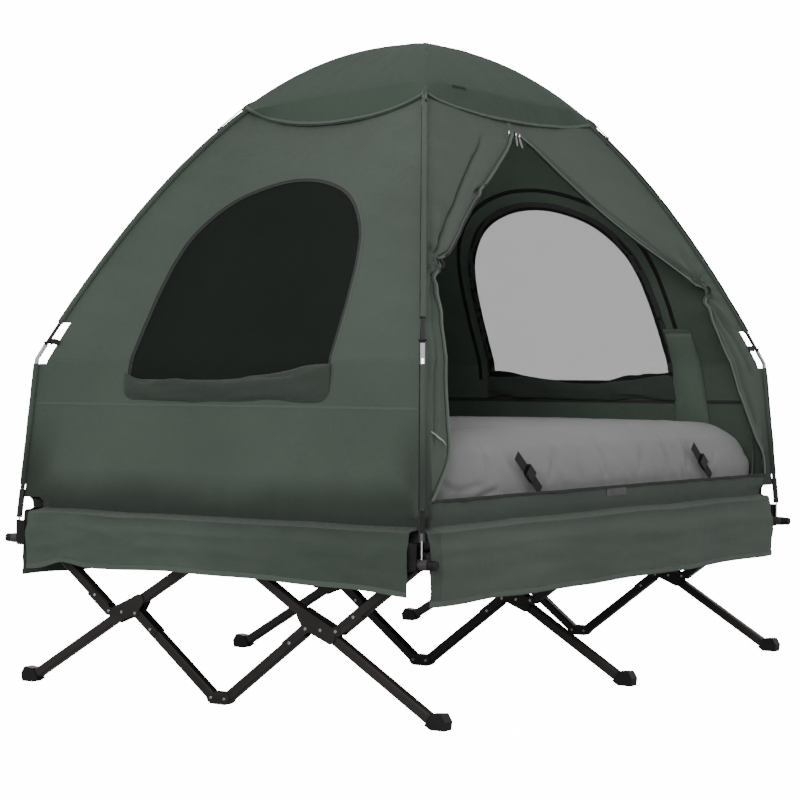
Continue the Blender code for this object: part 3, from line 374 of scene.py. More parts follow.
CANOPY = (0.101, 0.134, 0.106)
canopy_look = fabric("canopy_cloth", CANOPY, thin=0.35, shade=True)
lining_look = fabric("lining_cloth", (0.040, 0.043, 0.040), thin=0.25)
# the flaps' rolls are the canopy's cloth painted darker: painted shade
shaded_roll_look = fabric("roll_cloth", scaled(CANOPY, 0.34), sheen=0.1, crease=0.0024)
pocket_look = fabric("pocket_cloth", scaled(CANOPY, 1.8), thin=0.45)
fly_look = fabric("fly_cloth", (0.060, 0.086, 0.065), sheen=0.05, thin=0.12)
hem_look = stitched("hem_tape", scaled(CANOPY, 0.72), contrast=1.2)
edge_look = stitched("hem_edge", scaled(CANOPY, 1.05), rows=(0.5,))
binding_look = stitched("binding_tape", (0.012, 0.0125, 0.012), rows=(0.5,))
net_look = netting("window_net", (0.010, 0.0130, 0.0108))
bed_look = fabric("bed_cloth", (0.030, 0.036, 0.032), pitch=0.0016)
mattress_look = fabric("mattress_cloth", (0.192, 0.191, 0.195), pitch=0.0013, sheen=0.35, crease=0.0007, spread=0.07)
FRAME = (0.0125, 0.0098, 0.0090)
frame_looks = {
    "hub": painted_metal("frame_hub_paint", FRAME, 0.42, 0.0164),
    "leg": painted_metal("frame_leg_paint", FRAME, 0.42, 0.01445),
    "bracket": painted_metal("frame_bracket_paint", FRAME, 0.42, 0.0155),
    "rail": painted_metal("frame_paint", FRAME, 0.42),
}
bar_look = painted_metal("bar_paint", (0.028, 0.024, 0.0235), 0.36)
plastic_look = moulded_plastic("moulded_black", (0.0055, 0.0055, 0.006), 0.42)
cord_look, string_look, elastic_look = (
    fabric(name, colour, pitch=0.0012, sheen=0.1, crease=0.0001) for name, colour in
    (("cord_braid", (0.46, 0.44, 0.43)), ("string_braid", (0.42, 0.26, 0.05)), ("elastic_braid", (0.13, 0.10, 0.14))))
seam_look = fabric("seam_piping", (0.075, 0.074, 0.077), pitch=0.0012, sheen=0.2, crease=0.0001)
velcro_look = fabric("hook_and_loop", (0.036, 0.029, 0.029), pitch=0.0024, sheen=0.4, crease=0.0006)
DULL_STEEL, CLEAR_STEEL = (0.62, 0.62, 0.63), (0.85, 0.85, 0.86)
bright_look = Look("bright_metal", DULL_STEEL, 0.22, 1.0)
bright_look.rough(bright_look.ramp(bright_look.noise(70, 3.0), 0.3, 0.7, 0.16, 0.34))
bright_look.paint(bright_look.mix(bright_look.noise(30, 3.0), DULL_STEEL, CLEAR_STEEL))


def pole_material():
    """Black glass fibre above, bright steel below it, then black, and a bright pin at the foot, by height."""
    look = Look("pole_finish", (0.012, 0.012, 0.013), 0.36)
    height = look.split()[2]
    above_pin = look.above(height, PIN_TOP + 0.0005)
    above_low = look.above(height, STEEL_LOW)
    above_steel = look.above(height, STEEL_TOP)
    shine = look.plus(look.minus(1.0, above_pin), look.minus(above_low, above_steel))
    steel = look.mix(look.noise(40, 3.0), DULL_STEEL, CLEAR_STEEL)
    dark = look.mix(look.noise(18, 3.0), (0.007, 0.007, 0.0075), (0.014, 0.014, 0.015))
    look.paint(look.mix(shine, dark, steel))
    look.link(shine, "Metallic")
    look.rough(look.minus(0.40, look.times(shine, 0.16)))
    look.bump((look.noise(500, 2.0), 0.00005))
    return look


pole_look = pole_material()

floor_look = Look("studio_floor", (0.42, 0.42, 0.42), 0.9)
white = floor_look.add("ShaderNodeEmission", {"Strength": BACKDROP})
floor_look.show(white, floor_look.add("ShaderNodeLightPath").outputs["Is Camera Ray"])
floor = bpy.data.objects.new("floor", bpy.data.meshes.new("floor"))
floor.data.from_pydata([(-40, -40, 0), (40, -40, 0), (40, 40, 0), (-40, 40, 0)], [], [(0, 1, 2, 3)])
floor.data.materials.append(floor_look.material)
bpy.context.scene.collection.objects.link(floor)


# ---------------------------------------------------------------- building helpers
def shaded(data, sharp):
    """Smooth shading, with the edges beyond the angle sharp, in degrees, left sharp."""
    data.shade_smooth()
    if sharp:
        data.set_sharp_from_angle(angle=math.radians(sharp))


def add_mesh(name, points, faces, look, uvs=None, sharp=None):
    data = bpy.data.meshes.new(name)
    data.from_pydata([tuple(point) for point in points], [], faces)
    if uvs:
        layer = data.uv_layers.new(name="UVMap")
        for polygon in data.polygons:
            for loop in polygon.loop_indices:
                layer.data[loop].uv = uvs[data.loops[loop].vertex_index]
    data.materials.append(look.material)
    shaded(data, sharp)
    made = bpy.data.objects.new(name, data)
    bpy.context.scene.collection.objects.link(made)
    return made


def edited(piece, action):
    """Runs an edit on the piece's mesh."""
    shape = bmesh.new()
    shape.from_mesh(piece.data)
    action(shape)
    shape.to_mesh(piece.data)
    shape.free()
    return piece


def applied(piece):
    """Puts the piece's modifiers into its mesh."""
    graph = bpy.context.evaluated_depsgraph_get()
    data = bpy.data.meshes.new_from_object(piece.evaluated_get(graph))
    piece.modifiers.clear()
    piece.data = data
    return piece


def thickened(piece, thickness, even=True):
    """Gives a sheet its thickness, on its inner side."""
    step = piece.modifiers.new("skin", "SOLIDIFY")
    step.thickness = thickness
    step.offset = -1
    step.use_even_offset = even
    return applied(piece)


def outward(piece):
    return edited(piece, lambda shape: bmesh.ops.recalc_face_normals(shape, faces=shape.faces))


def joined(piece, distance):
    """Joins the points that lie closer together than the distance."""
    edited(piece, lambda shape: bmesh.ops.remove_doubles(shape, verts=shape.verts, dist=distance))
    return outward(piece)


def smoothstep(low, high, value):
    part = min(1, max(0, (value - low) / (high - low)))
    return part * part * (3 - 2 * part)


def bell(value, width):
    """1 where the value is 0, and fading out within about twice the width on either side."""
    return math.exp(-((value / width) ** 2))


def table(spots, value):
    """The smooth curve through (value, result) spots that rise in value."""
    if value <= spots[0][0]:
        return spots[0][1]
    if value >= spots[-1][0]:
        return spots[-1][1]
    slopes = []
    for i in range(len(spots)):
        before, after = spots[max(0, i - 1)], spots[min(len(spots) - 1, i + 1)]
        slopes.append((after[1] - before[1]) / (after[0] - before[0]))
    for i in range(len(spots) - 1):
        (start, first), (end, last) = spots[i], spots[i + 1]
        if value <= end:
            width = end - start
            t = (value - start) / width
            return (
                (2 * t**3 - 3 * t**2 + 1) * first + (t**3 - 2 * t**2 + t) * width * slopes[i]
                + (3 * t**2 - 2 * t**3) * last + (t**3 - t**2) * width * slopes[i + 1]
            )


def crumple(x, y, z, size):
    return noise.noise(Vector((x, y, z)) / size)


def frames_along(path, closed=False):
    """(point, way) along a path."""
    count = len(path)
    result = []
    for i in range(count):
        before = path[i - 1] if i or closed else path[0]
        after = path[(i + 1) % count] if i < count - 1 or closed else path[-1]
        result.append((Vector(path[i]), (Vector(after) - Vector(before)).normalized()))
    return result


def ring_faces(rings, sides, closed=False, capped=True):
    """The faces between rings of points, and the two end faces of a capped run that isn't closed."""
    faces = []
    for i in range(rings if closed else rings - 1):
        here, there = i * sides, (i + 1) % rings * sides
        for k in range(sides):
            j = (k + 1) % sides
            faces.append([here + k, here + j, there + j, there + k])
    if capped and not closed:
        faces += [list(range(sides))[::-1], list(range((rings - 1) * sides, rings * sides))]
    return faces


def grid_faces(rows, columns):
    """The faces of a sheet whose points run in rows."""
    return [[k * columns + i, k * columns + i + 1, (k + 1) * columns + i + 1, (k + 1) * columns + i]
            for k in range(rows - 1) for i in range(columns - 1)]


def tube(name, path, radius, look, sides=10, closed=False, hint=(0, 0, 1), radii=None):
    """A round tube along a path, with closed ends unless the path is a closed loop."""
    points = []
    spots = frames_along(path, closed)
    normal = Vector(hint)
    for i, (centre, way) in enumerate(spots):
        normal = normal - way * normal.dot(way)
        normal = normal.normalized() if normal.length > 1e-6 else way.orthogonal().normalized()
        other = way.cross(normal)
        size = radii[i] if radii else radius
        for k in range(sides):
            turn = 2 * math.pi * k / sides
            points.append(centre + size * (math.cos(turn) * normal + math.sin(turn) * other))
    return outward(add_mesh(name, points, ring_faces(len(spots), sides, closed), look, sharp=60))


def ribbon(name, path, normals, width, thickness, look, lift=0.0):
    """A flat band along a path; its normals point out of the surface that it lies on."""
    points, uvs = [], []
    run = 0.0
    spots = frames_along(path)
    for i, (centre, way) in enumerate(spots):
        if i:
            run += (centre - spots[i - 1][0]).length
        out = Vector(normals[i])
        out = (out - way * out.dot(way)).normalized()
        aside = way.cross(out)
        for a, b in ((-0.5, 0), (-0.46, 1), (0, 1.15), (0.46, 1), (0.5, 0), (0, -0.1)):
            points.append(centre + aside * width * a + out * (lift + thickness * b))
            uvs.append((run, a + 0.5))
    return outward(add_mesh(name, points, ring_faces(len(spots), 6), look, uvs, sharp=50))


# ---------------------------------------------------------------- the canopy's surface
def pole_height(share):
    if share <= ELBOW_SHARE:
        return CROWN - ARCH_DROP * share**2
    return ELBOW + (share - ELBOW_SHARE) / (1 - ELBOW_SHARE) * (PIN_TOP - ELBOW)


def pole_share(height):
    if height >= ELBOW:
        return math.sqrt(max(0, CROWN - height) / ARCH_DROP)
    return ELBOW_SHARE + (1 - ELBOW_SHARE) * (ELBOW - height) / (ELBOW - PIN_TOP)


def sag_share(z):
    return max(0, math.sin(math.pi * (z - WALL_BOTTOM) / (CROWN - WALL_BOTTOM)))


def wall_size(share):
    """(height, half length, half width) of the canopy's ring under this share of the poles."""
    height = pole_height(share)
    if share >= ELBOW_SHARE:
        return height, POLE_X * share - WALL_INSET, POLE_Y * share - WALL_INSET
    steep = math.atan2(2 * ARCH_DROP * share, DIAGONAL)
    inset = WALL_INSET + (APEX_INSET - WALL_INSET) * max(0, 1 - share / CROSSING_SHARE)
    out = share - inset * math.sin(steep) * math.sqrt(2) / DIAGONAL
    return height - inset * math.cos(steep), POLE_X * out, POLE_Y * out


known_shares = {}


def share_at(z):
    """The share of the poles at which the canopy's ring is z high."""
    key = round(z, 6)
    if key not in known_shares:
        low, high = 0.0, 1.0
        for _ in range(40):
            middle = (low + high) / 2
            low, high = (middle, high) if wall_size(middle)[0] > z else (low, middle)
        known_shares[key] = low
    return known_shares[key]


def spaced(low, high, count):
    """Numbers from low to high in so many even steps."""
    return [low + (high - low) * i / count for i in range(count + 1)]


# side: (direction along it, direction out of it, is it an end)
SIDES = {
    "door": (Vector((1, 0, 0)), Vector((0, -1, 0)), False),
    "rear": (Vector((0, 1, 0)), Vector((1, 0, 0)), True),
    "far": (Vector((-1, 0, 0)), Vector((0, 1, 0)), False),
    "front": (Vector((0, -1, 0)), Vector((-1, 0, 0)), True),
}


def wall_halves(side, z):
    """(half the wall's length, its distance from the middle) at a height."""
    _, half_x, half_y = wall_size(share_at(z))
    return (half_y, half_x) if SIDES[side][2] else (half_x, half_y)


def wall_point(side, along, z, out=0.0):
    """A point of the canopy's outer surface by its distance along the side and its height."""
    way, outside, is_end = SIDES[side]
    half_along, half_out = wall_halves(side, z)
    t = along / half_along if half_along else 0
    lean = (END_SAG if is_end else SIDE_SAG) * sag_share(z)
    tuck = 0.6 * WALL_TUCK * max(0, (TUCK_TOP - z) / (TUCK_TOP - SLIT_TOP))
    lean = (lean + tuck) * (1 - t * t) + 0.6 * tuck * (1 - smoothstep(0.93, 1.0, abs(t)))
    return way * along + outside * (half_out - lean + out) + Vector((0, 0, z))


def wall_normal(side, along, z):
    """The direction out of the wall."""
    step = 0.004
    a = wall_point(side, along + step, z) - wall_point(side, along - step, z)
    b = wall_point(side, along, z + step) - wall_point(side, along, z - step)
    return a.cross(b).normalized()


# The door's opening as (height, x) of its left and right edge, then its tie-backs as ((x, height), side),
# and the folds of its curtains as (x, height)
LEFT_EDGE = [(0.535, -0.893), (0.56, -0.870), (0.64, -0.808), (0.718, -0.803), (0.83, -0.800), (0.937, -0.780),
             (1.06, -0.737), (1.106, -0.704), (1.153, -0.607), (1.238, -0.470), (1.314, -0.336), (1.443, -0.103),
             (1.499, -0.019)]
RIGHT_EDGE = [(0.535, 0.893), (0.592, 0.886), (0.648, 0.839), (0.79, 0.757), (0.905, 0.707), (0.977, 0.680),
              (1.068, 0.687), (1.085, 0.690), (1.128, 0.601), (1.209, 0.439), (1.294, 0.284), (1.39, 0.144),
              (1.501, 0.004)]
TIES = (((-0.722, 1.100), -1), ((0.693, 1.085), 1))
LONG_FOLD = [(-0.200, 1.470), (-0.259, 1.428), (-0.342, 1.377), (-0.441, 1.311), (-0.578, 1.213), (-0.701, 1.121)]
SHORT_FOLD = [(-0.324, 1.323), (-0.359, 1.312), (-0.400, 1.299)]
RIGHT_FOLD = [(0.020, 1.512), (0.166, 1.404), (0.310, 1.310), (0.470, 1.226), (0.633, 1.140), (0.705, 1.098)]
LOW_FOLDS = [[(-0.740, 1.070), (-0.800, 0.960), (-0.842, 0.830), (-0.866, 0.640)],
             [(-0.760, 1.085), (-0.845, 0.960), (-0.886, 0.800)],
             [(0.700, 1.050), (0.745, 0.930), (0.800, 0.800), (0.872, 0.670)],
             [(0.712, 1.070), (0.792, 0.950), (0.846, 0.830)],
             [(0.705, 1.000), (0.722, 0.900), (0.778, 0.770)]]


def door_edges(z):
    """The x of the door's left and right edge, which meet at its top."""
    if z >= DOOR_TOP:
        centre = -0.008 * (CROWN - z) / (CROWN - DOOR_TOP)
        return centre, centre
    return table(LEFT_EDGE, z), table(RIGHT_EDGE, z)


def beside(line, x, z):
    """(distance from a line of spots, share of the way along it) of a place."""
    best = (9.0, 0.0)
    for i in range(len(line) - 1):
        (ax, az), (bx, bz) = line[i], line[i + 1]
        dx, dz = bx - ax, bz - az
        t = min(1, max(0, ((x - ax) * dx + (z - az) * dz) / (dx * dx + dz * dz)))
        reach = math.hypot(x - ax - t * dx, z - az - t * dz)
        if reach < best[0]:
            best = (reach, (i + t) / (len(line) - 1))
    return best


def groove(line, x, z, width, depth):
    """How far a fold that runs along the line presses the cloth in at a place."""
    reach, share = beside(line, x, z)
    ends = smoothstep(0.0, 0.12, share) * (1 - smoothstep(0.92, 1.0, share))
    return -depth * bell(reach, width) * (0.35 + 0.65 * ends)


def door_folds(x, z):
    """How far the door side's cloth stands out, from its curtains' folds, ties and rolled edges."""
    left, right_edge = door_edges(max(z, DOOR_BOTTOM))
    out = 0.0
    for (tie_x, tie_z), side in TIES:
        reach = math.hypot(x - tie_x, z - tie_z)
        if reach < 0.5:
            angle = math.atan2(z - tie_z, side * (tie_x - x))
            fade = smoothstep(0.0, 0.03, reach) * (1 - smoothstep(0.07, 0.30, reach))
            out += 0.0045 * fade * math.cos(angle * 13 + 0.8 + crumple(x, z, 3.1, 0.2) * 1.5)
            out += 0.012 * bell(reach, 0.022)
            out -= 0.010 * bell(reach - 0.038, 0.014)
    if 1.08 < z < 1.50 and x < left + 0.01:
        fold = table([(b, a) for a, b in reversed(LONG_FOLD)], z)
        if fold < x < left and 1.121 < z < 1.47:
            out += 0.011 * math.sin(math.pi * (left - x) / (left - fold)) ** 0.8
        out += groove(LONG_FOLD, x, z, 0.005, 0.015) + groove(SHORT_FOLD, x, z, 0.005, 0.010)
    if 1.06 < z < 1.53 and x > 0:
        out += groove(RIGHT_FOLD, x, z, 0.005, 0.006)
    if z < 1.10:
        for fold in LOW_FOLDS:
            if fold[0][0] * x > 0:
                out += groove(fold, x, z, 0.008, 0.008)
    above = smoothstep(1.09, 1.14, z) * (1 - smoothstep(1.46, 1.50, z))
    roll = (x - right_edge) / 0.030
    if 0 <= roll <= 1:
        above += 0.6 * (1 - smoothstep(1.04, 1.09, z))
        out += 0.010 * above * math.sin(math.pi * (0.2 + 0.8 * roll)) ** 2
    roll = (left - x) / 0.022
    if 0 <= roll <= 1:
        out += 0.007 * math.sin(math.pi * (0.2 + 0.8 * roll)) ** 2
    return out


def cloth_out(side, along, z):
    """How far the wall's cloth stands out of the plain surface, nothing at the poles."""
    half = wall_halves(side, z)[0]
    t = abs(along) / half if half else 1
    rim = 1 - smoothstep(0.93, 1.0, t)
    seed = 5 * len(side)
    out = 0.0030 * crumple(along + seed, 0.35 * z, 1.7, 0.11) * rim
    out += 0.0050 * crumple(along * 0.6, z + 0.6 * seed, 8.2, 0.30) * rim
    pull = max(0.0, t - 0.50)
    out += 0.0040 * pull * math.sin(2 * math.pi * (z / 0.085 + along * 3.0)) * smoothstep(0.86, 1.0, z) * rim
    low = 1 - smoothstep(0.50, 0.66, z)
    out += 0.006 * low * crumple(along * 1.3, z * 0.5, seed + 2.2, 0.06) * rim
    if SIDES[side][2]:
        corner = smoothstep(0.62, 0.90, t) * (1 - smoothstep(0.95, 1.0, t))
        out -= 0.010 * (1 - smoothstep(0.60, 0.78, z)) * corner
    if side == "door":
        out += door_folds(along, z) * rim
    return out


def side_surface(side, along, z, out=0.0):
    """A point of the wall with all its folds."""
    return wall_point(side, along, z, cloth_out(side, along, z) + out)


# Heights of the wall's rows of points: below the door's opening, beside it, and above it to near the apex
LAST_SHARE = 0.03
door_heights = spaced(DOOR_BOTTOM, DOOR_TOP, 120)
rows = spaced(SLIT_TOP, DOOR_BOTTOM, 4)[:-1] + door_heights[:-1]
rows += [wall_size(share)[0] for share in spaced(share_at(DOOR_TOP), LAST_SHARE, 20)]
# side: the distances along it from which and to which the skirt runs
SKIRT_HALF = {"door": (-0.938, 0.894), "far": (-0.928, 0.928), "rear": (-0.620, 0.620), "front": (-0.605, 0.625)}


def wall_columns(side, z):
    """Distances along the side from one pole to the next, and the numbers of the gap's two edges."""
    half = wall_halves(side, z)[0]
    low, high = (edge / wall_halves(side, SLIT_TOP)[0] * half for edge in SKIRT_HALF[side])
    if side != "door":
        return [-half, *spaced(low, high, 72), half], None
    left, right_edge = door_edges(max(z, DOOR_BOTTOM))
    inner = 46
    columns = [-half]
    columns += [left + (low - left) * (1 - i / inner) ** 1.35 for i in range(inner)]
    gap_start = len(columns)
    columns += spaced(left, right_edge, 30)[:-1]
    gap_end = len(columns)
    columns += [right_edge + (high - right_edge) * (i / inner) ** 1.35 for i in range(inner + 1)]
    columns += [half]
    return columns, (gap_start, gap_end)


# The folds of the end skirt and of the door skirt, each a line in (along, height) with its width and depth
SKIRT_FOLDS = {
    "front": [
        ([(-0.478, 0.462), (-0.470, 0.400), (-0.458, 0.340)], 0.016, 0.0110),
        ([(-0.455, 0.456), (-0.380, 0.428), (-0.260, 0.408)], 0.012, 0.0050),
        ([(-0.300, 0.440), (0.020, 0.430), (0.260, 0.438)], 0.011, 0.0045),
        ([(-0.350, 0.400), (-0.050, 0.392), (0.320, 0.388)], 0.014, 0.0050),
        ([(0.580, 0.445), (0.545, 0.425), (0.505, 0.385)], 0.012, 0.0065),
        ([(-0.575, 0.445), (-0.550, 0.410), (-0.530, 0.370)], 0.014, 0.0060),
    ],
    "door": [
        ([(-0.800, 0.436), (-0.300, 0.430), (0.100, 0.436)], 0.012, 0.0045),
        ([(-0.100, 0.405), (0.350, 0.398), (0.760, 0.408)], 0.014, 0.0045),
    ],
}


def skirt_row(side, columns, level):
    """One row of the skirt: level runs from 0 at the slit's top to 1 at the lower hem."""
    way, outside, is_end = SIDES[side]
    points = []
    left, right_edge = SKIRT_HALF[side]
    hang = SKIRT_X if is_end else SKIRT_Y
    seed = len(side)
    for along in columns:
        t = (2 * along - left - right_edge) / (right_edge - left)
        low = END_SKIRT_LOW + END_SKIRT_LIFT * (1 - t * t) if is_end else SIDE_SKIRT_LOW
        if side == "front":
            low += 0.016 * bell(along + 0.48, 0.05)
        crease = CREASE - 0.004 + 0.004 * crumple(along, 0, 7.7 + seed, 0.2)
        if level < 0.16:
            z = SLIT_TOP + (crease + 0.003 - SLIT_TOP) * min(1, level / 0.10)
            z -= 0.003 * smoothstep(0.10, 0.16, level)
        else:
            z = crease + (low - crease) * (level - 0.16) / 0.84
        near = side_surface(side, along, SLIT_TOP).dot(outside) - 0.004 * smoothstep(0.0, 0.10, level)
        out = near + (hang - near) * smoothstep(0.085, 0.17, level)
        under = smoothstep(0.16, 0.30, level)
        out -= 0.007 * math.sin(math.pi * min(1, max(0, (level - 0.16) / 0.22))) * (1 - abs(t) ** 8)
        drop = smoothstep(0.20, 1.0, level)
        wave = 0.0050 * math.sin(2 * math.pi * along / 0.42 + 2.1 * seed)
        wave += 0.0085 * crumple(along, z * 0.4, 4.4 + seed, 0.13)
        out += wave * drop - 0.008 * drop
        out += 0.0050 * under * crumple(along * 0.35, z, 9.3 + seed, 0.030) * (1 - level * 0.4)
        out += 0.0040 * crumple(along * 1.2, z * 1.6, 2.3 + seed, 0.05) * (0.3 + 0.7 * under)
        for line, width, depth in SKIRT_FOLDS.get(side, ()):
            out -= 0.8 * groove(line, along, z, width, depth)
        dip = 0.005 * crumple(along, 0.0, 6.1 + seed, 0.20) * level
        inward = 0.012 * smoothstep(0.93, 1.0, abs(t)) * (1 - smoothstep(0.1, 0.5, level))
        points.append(way * along + outside * (min(out, hang + 0.006) - inward) + Vector((0, 0, z + dip)))
    return points


SKIRT_STEPS = 34


def canopy_surface():
    """The four walls with the door left open, each with its skirt below."""
    points, faces = [], []
    for side in SIDES:
        grid = []
        for z in rows:
            columns, gap = wall_columns(side, z)
            grid.append(range(len(points), len(points) + len(columns)))
            points += [side_surface(side, along, z) for along in columns]
        for k in range(len(rows) - 1):
            for i in range(len(grid[k]) - 1):
                opened = gap and rows[k] >= DOOR_BOTTOM - 1e-6 and gap[0] <= i < gap[1]
                if not opened:
                    faces.append([grid[k][i], grid[k][i + 1], grid[k + 1][i + 1], grid[k + 1][i]])
        columns = wall_columns(side, SLIT_TOP)[0]
        above = grid[0][1:-1]
        for step in range(1, SKIRT_STEPS + 1):
            row = range(len(points), len(points) + len(above))
            points += skirt_row(side, columns[1:-1], step / SKIRT_STEPS)
            faces += [[above[i], row[i], row[i + 1], above[i + 1]] for i in range(len(row) - 1)]
            above = row
    return points, faces


WINDOW_SHARES = [(-1, 0), (-0.985, 0.25), (-0.965, 0.43), (-0.925, 0.595), (-0.85, 0.725), (-0.70, 0.845),
                 (-0.52, 0.925), (-0.26, 0.982)]
WINDOW_SHARES += [(0, 1)] + [(-a, b) for a, b in reversed(WINDOW_SHARES)]


def spline(spots, steps):
    """A smooth line through spots in a plane, with so many steps between each two."""
    result = []
    for i in range(len(spots) - 1):
        p0, p1, p2, p3 = (Vector(spots[min(len(spots) - 1, max(0, i + k))]) for k in (-1, 0, 1, 2))
        for step in range(steps):
            t = step / steps
            result.append(0.5 * (2 * p1 + (p2 - p0) * t + (2 * p0 - 5 * p1 + 4 * p2 - p3) * t * t
                                 + (3 * p1 - p0 - 3 * p2 + p3) * t**3))
    result.append(Vector(spots[-1]))
    return result


def window_line(grow=0.0):
    """The window's outline as (along, height), from its lower left corner over the top to the lower right one."""
    height = WINDOW_TOP - WINDOW_LOW
    spots = [((WINDOW_HALF + grow) * a, WINDOW_LOW + (height + grow) * b) for a, b in WINDOW_SHARES]
    return [tuple(spot) for spot in spline(spots, 4)]


def prism(outline, place):
    """The closed prism between the outline's two copies, each spot put in space by place(spot, end)."""
    count = len(outline)
    points = [place(spot, end) for end in (0, 1) for spot in outline]
    faces = [list(range(count)), list(range(count, 2 * count))]
    faces += [[i, (i + 1) % count, count + (i + 1) % count, count + i] for i in range(count)]
    return points, faces


def canopy_cutters():
    """The windows and the gaps at the four poles, as one mesh of closed prisms."""
    parts = [prism(window_line(), lambda spot, end, out=out: Vector((out * (0.53 + 0.57 * end), spot[0], spot[1])))
             for out in (-1, 1)]
    _, low_x, low_y = wall_size(share_at(GAP_LOW))
    _, top_x, top_y = wall_size(share_at(GAP_TOP))
    for x in (-1, 1):
        for y in (-1, 1):
            cut = 0.007 if x + y < -1 else 0.024
            parts.append(prism([(0, 0), (0.2, 0), (0.2, 0.2), (0, 0.2)], lambda spot, end, x=x, y=y, cut=cut: Vector((
                x * (low_x + (top_x - low_x) * end - cut + spot[0]),
                y * (low_y + (top_y - low_y) * end - cut + spot[1]),
                GAP_LOW + (GAP_TOP - GAP_LOW) * end))))
    points, faces = [], []
    for more, shapes in parts:
        faces += [[number + len(points) for number in shape] for shape in shapes]
        points += more
    return outward(add_mesh("cutter", points, faces, canopy_look))


canopy = joined(add_mesh("canopy_shell", *canopy_surface(), canopy_look), 0.0001)
thickened(canopy, CLOTH, even=False)
cutter = canopy_cutters()
step = canopy.modifiers.new("openings", "BOOLEAN")
step.operation = "DIFFERENCE"
step.solver = "EXACT"
step.object = cutter
applied(canopy)
bpy.data.objects.remove(cutter)
shaded(canopy.data, 50)
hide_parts("canopy")
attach(canopy, "tent")


def soft(piece, body="tent"):
    """Gives a piece the body that it rides on."""
    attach(piece, body)
    return piece


def along_wall(side, line, out=0.0):
    """The places and the normals of the wall along a line."""
    path = [side_surface(side, a, z, out) for a, z in line]
    normals = [wall_normal(side, a, z) for a, z in line]
    return path, normals


def wall_band(name, side, line, width, thickness, look, out=0.0, inside=False, lift=0.0):
    """A flat band that lies on the wall's outer face, or on its inner one."""
    path, normals = along_wall(side, line, out)
    if inside:
        normals = [-normal for normal in normals]
    return soft(ribbon(name, path, normals, width, thickness, look, lift=lift))


# ---------------------------------------------------------------- windows: nets, bindings and rolled flaps
def window_net(side, node):
    """A net that fills the window's outline, in rings from its middle."""
    line = window_line(0.012)
    low, inside, rings = WINDOW_LOW - 0.012, -0.0032, 14
    line[0], line[-1] = (line[0][0], low), (line[-1][0], low)
    line += [(along, low) for along in spaced(line[-1][0], line[0][0], 24)[1:-1]]
    middle = (WINDOW_LOW + WINDOW_TOP) / 2
    points = [side_surface(side, 0.0, middle, inside)]
    for share in spaced(0, 1, rings)[1:]:
        points += [side_surface(side, along * share, middle + (z - middle) * share, inside) for along, z in line]
    total = len(line)
    faces = [[0, 1 + i, 1 + (i + 1) % total] for i in range(total)]
    faces += [[1 + number for number in face] for face in ring_faces(rings, total, capped=False)]
    net = outward(add_mesh(f"net_{side}", points, faces, net_look))
    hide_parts(node)
    soft(net)


window_net("front", "window_front")
window_net("rear", "window_rear")
for side in ("front", "rear"):
    wall_band(f"binding_{side}", side, window_line(0.003), 0.009, 0.0006, canopy_look, lift=0.0002)
    wall_band(f"binding_in_{side}", side, window_line(0.004), 0.030, TAPE, lining_look, INNER, True)
    wall_band(f"zip_tape_{side}", side, window_line(0.050), 0.014, TAPE, binding_look, INNER, True)
    wall_band(f"zip_line_{side}", side, window_line(0.050), 0.004, CLOTH, plastic_look, 2 * INNER, True)


ROLL_TOPS = {
    "front": [(-1, 0.832), (-0.80, 0.815), (-0.40, 0.814), (0.20, 0.824), (0.70, 0.842), (1, 0.853)],
    "rear": [(-1, 0.846), (-0.5, 0.826), (0, 0.808), (0.5, 0.824), (1, 0.843)],
}


def gathered_roll(side):
    """The window's flap, let down and gathered along the lower edge."""
    around, steps = 32, 150
    points = []
    for k in range(steps + 1):
        s = 2 * k / steps - 1
        along = (WINDOW_HALF + (0.020 if side == "rear" else 0.004)) * s
        end = 1 - abs(s) ** 16
        top = table(ROLL_TOPS[side], s) + 0.003 * crumple(along, 2, 1, 0.12)
        low = 0.757
        z0, tall = (top + low) / 2, (top - low) / 2
        deep = 0.014 * (0.25 + 0.75 * end) * (1 + 0.25 * crumple(along, 5, len(side), 0.15))
        centre = side_surface(side, along, z0)
        normal = wall_normal(side, along, z0)
        twist = 2.5 * s + 1.5 * crumple(along, 3, 3, 0.2)
        for i in range(around):
            turn = 2 * math.pi * i / around
            fold = 1 + 0.10 * math.sin(3 * turn + 1.6 * twist) + 0.05 * math.sin(7 * turn - 1.2 * twist)
            fold += 0.18 * crumple(along * 0.7, math.cos(turn) * 0.10, math.sin(turn) * 0.10, 0.06)
            rise = Vector((0, 0, tall * fold * math.sin(turn)))
            points.append(centre + rise + normal * deep * fold * math.cos(turn))
    return soft(outward(add_mesh(f"flap_roll_{side}", points, ring_faces(steps + 1, around), shaded_roll_look)))


gathered_roll("front")
gathered_roll("rear")


# ---------------------------------------------------------------- seams, hems and door trim
WALL_SEAM = 0.750
for side in ("rear", "far", "front"):
    half = wall_halves(side, WALL_SEAM)[0] * 0.985
    line = [(half * t, WALL_SEAM) for t in spaced(-1, 1, 60)]
    wall_band(f"wall_seam_{side}", side, line, 0.007, 0.0005, hem_look)
    wall_band(f"wall_seam_in_{side}", side, line, 0.012, 0.0010, lining_look, INNER, True)

